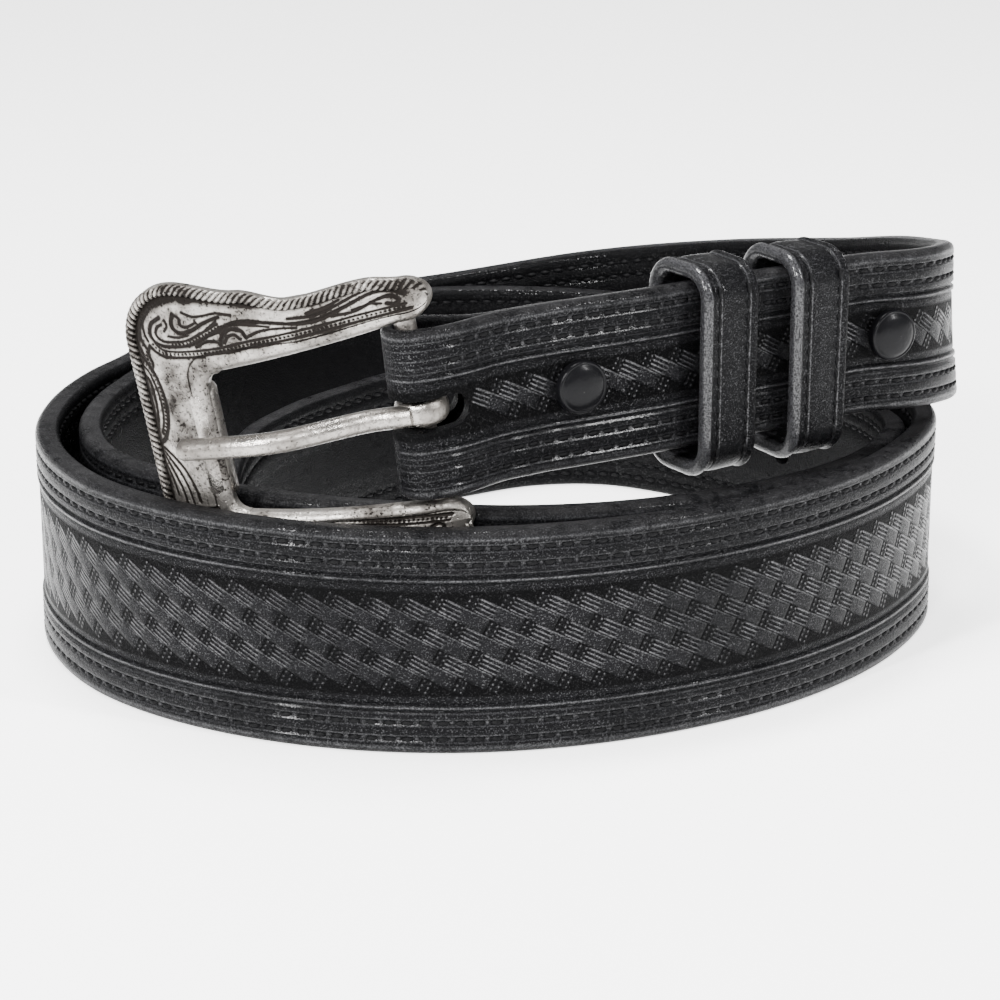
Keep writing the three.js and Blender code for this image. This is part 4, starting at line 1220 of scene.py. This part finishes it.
class BeltStageSettings(bpy.types.PropertyGroup):
    floor_colour: colour_setting("Floor", "Colour of the floor", (0.92, 0.92, 0.92))
    floor_glow: number_setting("Floor glow", "Keeps the floor's far side as pale as the near one", 2.0)
    key_power: number_setting("Key light", "Power of the large light overhead", 14.0, unit="POWER")
    front_power: number_setting("Front light", "Power of the one above the camera", 10.0, unit="POWER")
    side_power: number_setting("Side lights", "Power of the two strip lights", 11.0, unit="POWER")
    sky_strength: number_setting("Sky", "Strength of the even light from all round", 0.5)


def leather_settings():
    return bpy.context.scene.belt_leather


def silver_settings():
    return bpy.context.scene.belt_silver


# ---------------------------------------------------------------- operators


CAMERA_PLACE, CAMERA_LENS = (-0.00414, -0.54757, 0.1985), 112.6
CAMERA_TURN = (math.radians(71.625), 0, math.radians(-0.4))


class BELT_OT_stage(bpy.types.Operator):
    """Pale floor, soft lights and the camera at the photograph's view"""

    bl_idname = "belt.stage"
    bl_label = "Stage"

    def execute(self, context):
        settings = context.scene.belt_stage
        floor = primitive("pale_floor", bpy.ops.mesh.primitive_plane_add, size=6.0)
        shop = Finish("pale_floor", Roughness=0.6, Specular_IOR_Level=0.2)
        shop.surface.inputs["Base Color"].default_value = (*settings.floor_colour, 1)
        shop.surface.inputs["Emission Color"].default_value = (1, 1, 1, 1)
        shop.surface.inputs["Emission Strength"].default_value = settings.floor_glow
        floor.data.materials.append(shop.material)

        world = bpy.data.worlds.new("studio")
        context.scene.world = world
        world.use_nodes = True
        sky = world.node_tree.nodes["Background"]
        sky.inputs["Color"].default_value = (1, 1, 1, 1)
        sky.inputs["Strength"].default_value = settings.sky_strength

        def softbox(name, place, aim, width, height, power):
            bpy.ops.object.light_add(type="AREA", location=place)
            light = context.object
            light.name = name
            light.data.shape = "RECTANGLE"
            light.data.size, light.data.size_y = width, height
            light.data.energy = power
            light.rotation_mode = "QUATERNION"
            light.rotation_quaternion = (Vector(aim) - Vector(place)).to_track_quat("-Z", "Y")

        middle, front, side = (0, 0, 0.04), (0, -0.05, 0.04), settings.side_power
        softbox("overhead_box", (-0.08, 0.05, 0.78), middle, 0.3, 0.2, settings.key_power)
        softbox("front_box", (-0.22, -0.95, 0.62), front, 0.2, 0.1, settings.front_power)
        softbox("left_strip", (-0.45, -0.55, 0.45), front, 0.05, 0.4, side)
        softbox("right_strip", (0.6, -0.35, 0.5), middle, 0.05, 0.4, side * 0.7)

        camera_data = bpy.data.cameras.new("photo_view")
        camera = bpy.data.objects.new("photo_view", camera_data)
        context.collection.objects.link(camera)
        camera.location = CAMERA_PLACE
        camera.rotation_euler = CAMERA_TURN
        camera_data.sensor_width = 36.0
        camera_data.lens = CAMERA_LENS
        camera_data.clip_start = 0.05
        context.scene.camera = camera
        return {"FINISHED"}


class BELT_OT_strap(bpy.types.Operator):
    """The tooled strap, rolled, with its fold, prong slot and punched holes"""

    bl_idname = "belt.strap"
    bl_label = "Strap"

    def execute(self, context):
        rings, cut, rim = strap_rings()
        strap = skin("strap_leather_body", rings, cut, rim)
        half, back = SLOT_WIDTH / 2, LOOP_RADIUS + FOLD_THICK
        punch(strap, "slot_cutter", HEEL, half, 40, (-back, SLOT_LENGTH - half))
        for k in range(HOLE_COUNT):
            place = strap_matrix(STRAP_LENGTH - FIRST_HOLE - k * HOLE_PITCH, STRAP_THICK / 2)
            punch(strap, "hole_cutter", place, HOLE_RADIUS, STRAP_THICK + 1.6)
        smooth(strap, 50)
        finish_piece(strap, strap_finish(leather_settings()), "strap", "strap_leather", "belt_strap")
        return {"FINISHED"}


class BELT_OT_seams(bpy.types.Operator):
    """Double rows of stitches along both edges, on both sides of the strap, and on the keepers"""

    bl_idname = "belt.seams"
    bl_label = "Seams"

    def execute(self, context):
        settings = leather_settings()
        pitch, length = settings.stitch_pitch * 1000, settings.stitch_length * 1000
        thread, stop = thread_finish(), STRAP_LENGTH - TIP_POINT - 2
        starts = (("grain", True, SEAM_START), ("flesh", False, FLAP_LENGTH + 6))
        for side, outside, start in starts:
            places = seam_places(SEAM_ROWS, pitch, start, stop, outside)
            stitch = thread_pattern(length, settings.thread_thick * 1000)
            seams = copies(f"seams_{side}_side", stitch, places)
            finish_piece(seams, thread, "strap", "strap_leather")
        for name, at in KEEPER_PLACES.items():
            stitch = thread_pattern(KEEPER_STITCH, KEEPER_THREAD)
            seams = copies(f"keeper_seams_{name}", stitch, keeper_seams(at))
            finish_piece(seams, thread, "strap", "keeper_leather")
        return {"FINISHED"}


class BELT_OT_keepers(bpy.types.Operator):
    """Two leather loops with rolled rims"""

    bl_idname = "belt.keepers"
    bl_label = "Keepers"

    def execute(self, context):
        leather = plain_leather_finish()
        for name, at in KEEPER_PLACES.items():
            rings, cut = keeper_rings(at)
            keeper = skin(f"keeper_{name}_loop", rings, cut, cut, run_closed=True)
            finish_piece(keeper, leather, "strap", "keeper_leather", f"keeper_{name}")
        return {"FINISHED"}


# A cap's side, rim ring and dome: shares of its radius and of its height.
CAP_DOME = [
    (1, 0.3), (0.99, 0.5), (0.965, 0.6), (0.93, 0.64), (0.89, 0.61), (0.86, 0.62), (0.82, 0.7),
    (0.68, 0.82), (0.48, 0.91), (0.25, 0.97), (0.05, 1),
]


class BELT_OT_caps(bpy.types.Operator):
    """Black domed screw caps with their posts and back discs"""

    bl_idname = "belt.caps"
    bl_label = "Caps"

    def execute(self, context):
        enamel = enamel_finish()
        for name, at in CAP_PLACES.items():
            leather = float(front_thick(at)) + FOLD_THICK + FIT_GAP
            face, back = CAP_SEAT / 2, -leather - CAP_SEAT
            r, base = CAP_RADIUS, back - CAP_BACK_HEIGHT
            profile = [
                (r * 0.8, base), (r * 0.88, base + 0.12), (r * 0.9, back - 0.6), (r * 0.9, back),
                (POST_RADIUS, back + 0.01), (POST_RADIUS, face), (r * 0.93, face + 0.01), (r, face + 0.12),
            ]
            profile += [(r * width, face + CAP_HEIGHT * height) for width, height in CAP_DOME]
            cap = drawn(f"cap_{name}_dome", profile, strap_matrix(at))
            finish_piece(cap, enamel, "strap", "cap_enamel", f"snap_{name}")
        return {"FINISHED"}


class BELT_OT_frame(bpy.types.Operator):
    """The engraved buckle frame with its rope rim, heel bar and polished nose bar"""

    bl_idname = "belt.frame"
    bl_label = "Buckle frame"

    def execute(self, context):
        settings = silver_settings()
        rings, paint = frame_rings(settings.cut_depth)
        body = skin("buckle_engraved_frame", rings, paint=paint)
        antique = silver_finish(settings, "antique_silver_engraved", 0.8, 0.27, engraved=True)
        finish_piece(body, antique, "frame", "antique_silver", "buckle_frame")

        rope, shade = rope_rings(settings.rope_pitch * 1000)
        rope_rim = skin("buckle_rope_rim", rope, paint=shade)
        finish_piece(rope_rim, antique, "frame", "antique_silver")

        def to_nose(places):
            past_middle = np.abs(places[:, 1]) - NOSE_BAR_LENGTH / 2 + NOSE_BAR_DIP_RUN
            places[:, 2] -= NOSE_BAR_DIP * smooth_step(past_middle / NOSE_BAR_DIP_RUN)
            return places + [-WINDOW_REACH - NOSE_BAR_RADIUS * 0.8, -WINDOW_NOSE_DROP, nose_bar_height()]

        brown = silver_finish(settings, "worn_silver_bars", 0.7, 0.18)
        size = (32, NOSE_BAR_RADIUS, NOSE_BAR_LENGTH / 2, 2.2, 5)
        finish_piece(cross_bar("buckle_nose_bar", *size, to_nose), brown, "frame", "worn_silver")
        size = (28, HEEL_BAR_RADIUS, WINDOW_HEIGHT / 2 + 2.5, 0.5, 3)
        heel_bar = cross_bar("buckle_heel_bar", *size, lambda places: places)
        finish_piece(heel_bar, brown, "frame", "antique_silver")
        return {"FINISHED"}


class BELT_OT_prong(bpy.types.Operator):
    """The round prong and its eye on the heel bar"""

    bl_idname = "belt.prong"
    bl_label = "Prong"

    def execute(self, context):
        settings = silver_settings()
        bright = silver_finish(settings, "worn_silver_prong", 0.55, 0.15)
        eye_inner = HEEL_BAR_RADIUS + FIT_GAP
        rest = nose_bar_height() + NOSE_BAR_RADIUS + FIT_GAP + PRONG_RADIUS
        nose_x = -WINDOW_REACH - NOSE_BAR_RADIUS * 0.8
        route = flowing([
            (-0.5, eye_inner + PRONG_RADIUS * 0.7),
            (-WINDOW_REACH * 0.25, eye_inner + PRONG_RADIUS * 1.1),
            (-WINDOW_REACH * 0.65, rest * 1.02),
            (nose_x, rest),
            (nose_x - PRONG_OVERHANG, rest - 0.7),
        ], 13)
        run = np.concatenate([[0], np.cumsum(np.linalg.norm(np.diff(route, axis=0), axis=1))])
        near_end = PRONG_END_RUN * (1 - np.cos(np.linspace(0, math.pi / 2, 8)))
        marks = np.unique(np.concatenate([run, run[-1] - near_end]))
        route = np.stack([np.interp(marks, run, route[:, k]) for k in range(2)], axis=1)
        left = np.clip((run[-1] - marks) / PRONG_END_RUN, 0, 1)
        round_end = np.sqrt(np.clip(1 - (1 - left) ** 2, 0.0004, 1))
        prong = rod("buckle_prong_rod", route, PRONG_RADIUS * round_end)
        finish_piece(prong, bright, "prong", "worn_silver", "buckle_prong")

        thick = PRONG_RADIUS * 1.3 / 2
        eye = primitive(
            "buckle_prong_eye", bpy.ops.mesh.primitive_torus_add, major_segments=48, minor_segments=20,
            major_radius=(eye_inner + thick) * 0.001, minor_radius=thick * 0.001,
        )
        wide = PRONG_RADIUS * 1.2 / thick
        edit(eye, lambda: stretch_all(1, 1, wide), lambda: quarter_turn("X"))
        set_places(eye, placed(BUCKLE, get_places(eye)))
        only(eye)
        bpy.ops.object.shade_smooth()
        finish_piece(eye, bright, "prong", "worn_silver")
        return {"FINISHED"}


class BELT_PT_panel(bpy.types.Panel):
    bl_label = "Rolled western belt"
    bl_idname = "BELT_PT_panel"
    bl_space_type = "VIEW_3D"
    bl_region_type = "UI"
    bl_category = "Belt"

    def draw(self, context):
        for operator in OPERATORS:
            self.layout.operator(operator.bl_idname)
        for group_name, group_class in GROUPS.items():
            box = self.layout.box()
            for name in group_class.__annotations__:
                box.prop(getattr(context.scene, group_name), name)


OPERATORS = (
    BELT_OT_stage, BELT_OT_strap, BELT_OT_seams, BELT_OT_keepers, BELT_OT_caps, BELT_OT_frame,
    BELT_OT_prong,
)
GROUPS = {
    "belt_leather": BeltLeatherSettings,
    "belt_silver": BeltSilverSettings,
    "belt_stage": BeltStageSettings,
}


def register():
    for cls in (*GROUPS.values(), *OPERATORS, BELT_PT_panel):
        bpy.utils.register_class(cls)
    for name, group in GROUPS.items():
        setattr(bpy.types.Scene, name, bpy.props.PointerProperty(type=group))


def unregister():
    for name in GROUPS:
        delattr(bpy.types.Scene, name)
    for cls in (BELT_PT_panel, *reversed(OPERATORS), *GROUPS.values()):
        bpy.utils.unregister_class(cls)


def main():
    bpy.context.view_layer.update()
    register()
    bpy.ops.belt.stage()
    bpy.ops.belt.strap()
    bpy.ops.belt.seams()
    bpy.ops.belt.keepers()
    bpy.ops.belt.caps()
    bpy.ops.belt.frame()
    bpy.ops.belt.prong()


if __name__ == "__main__":
    main()
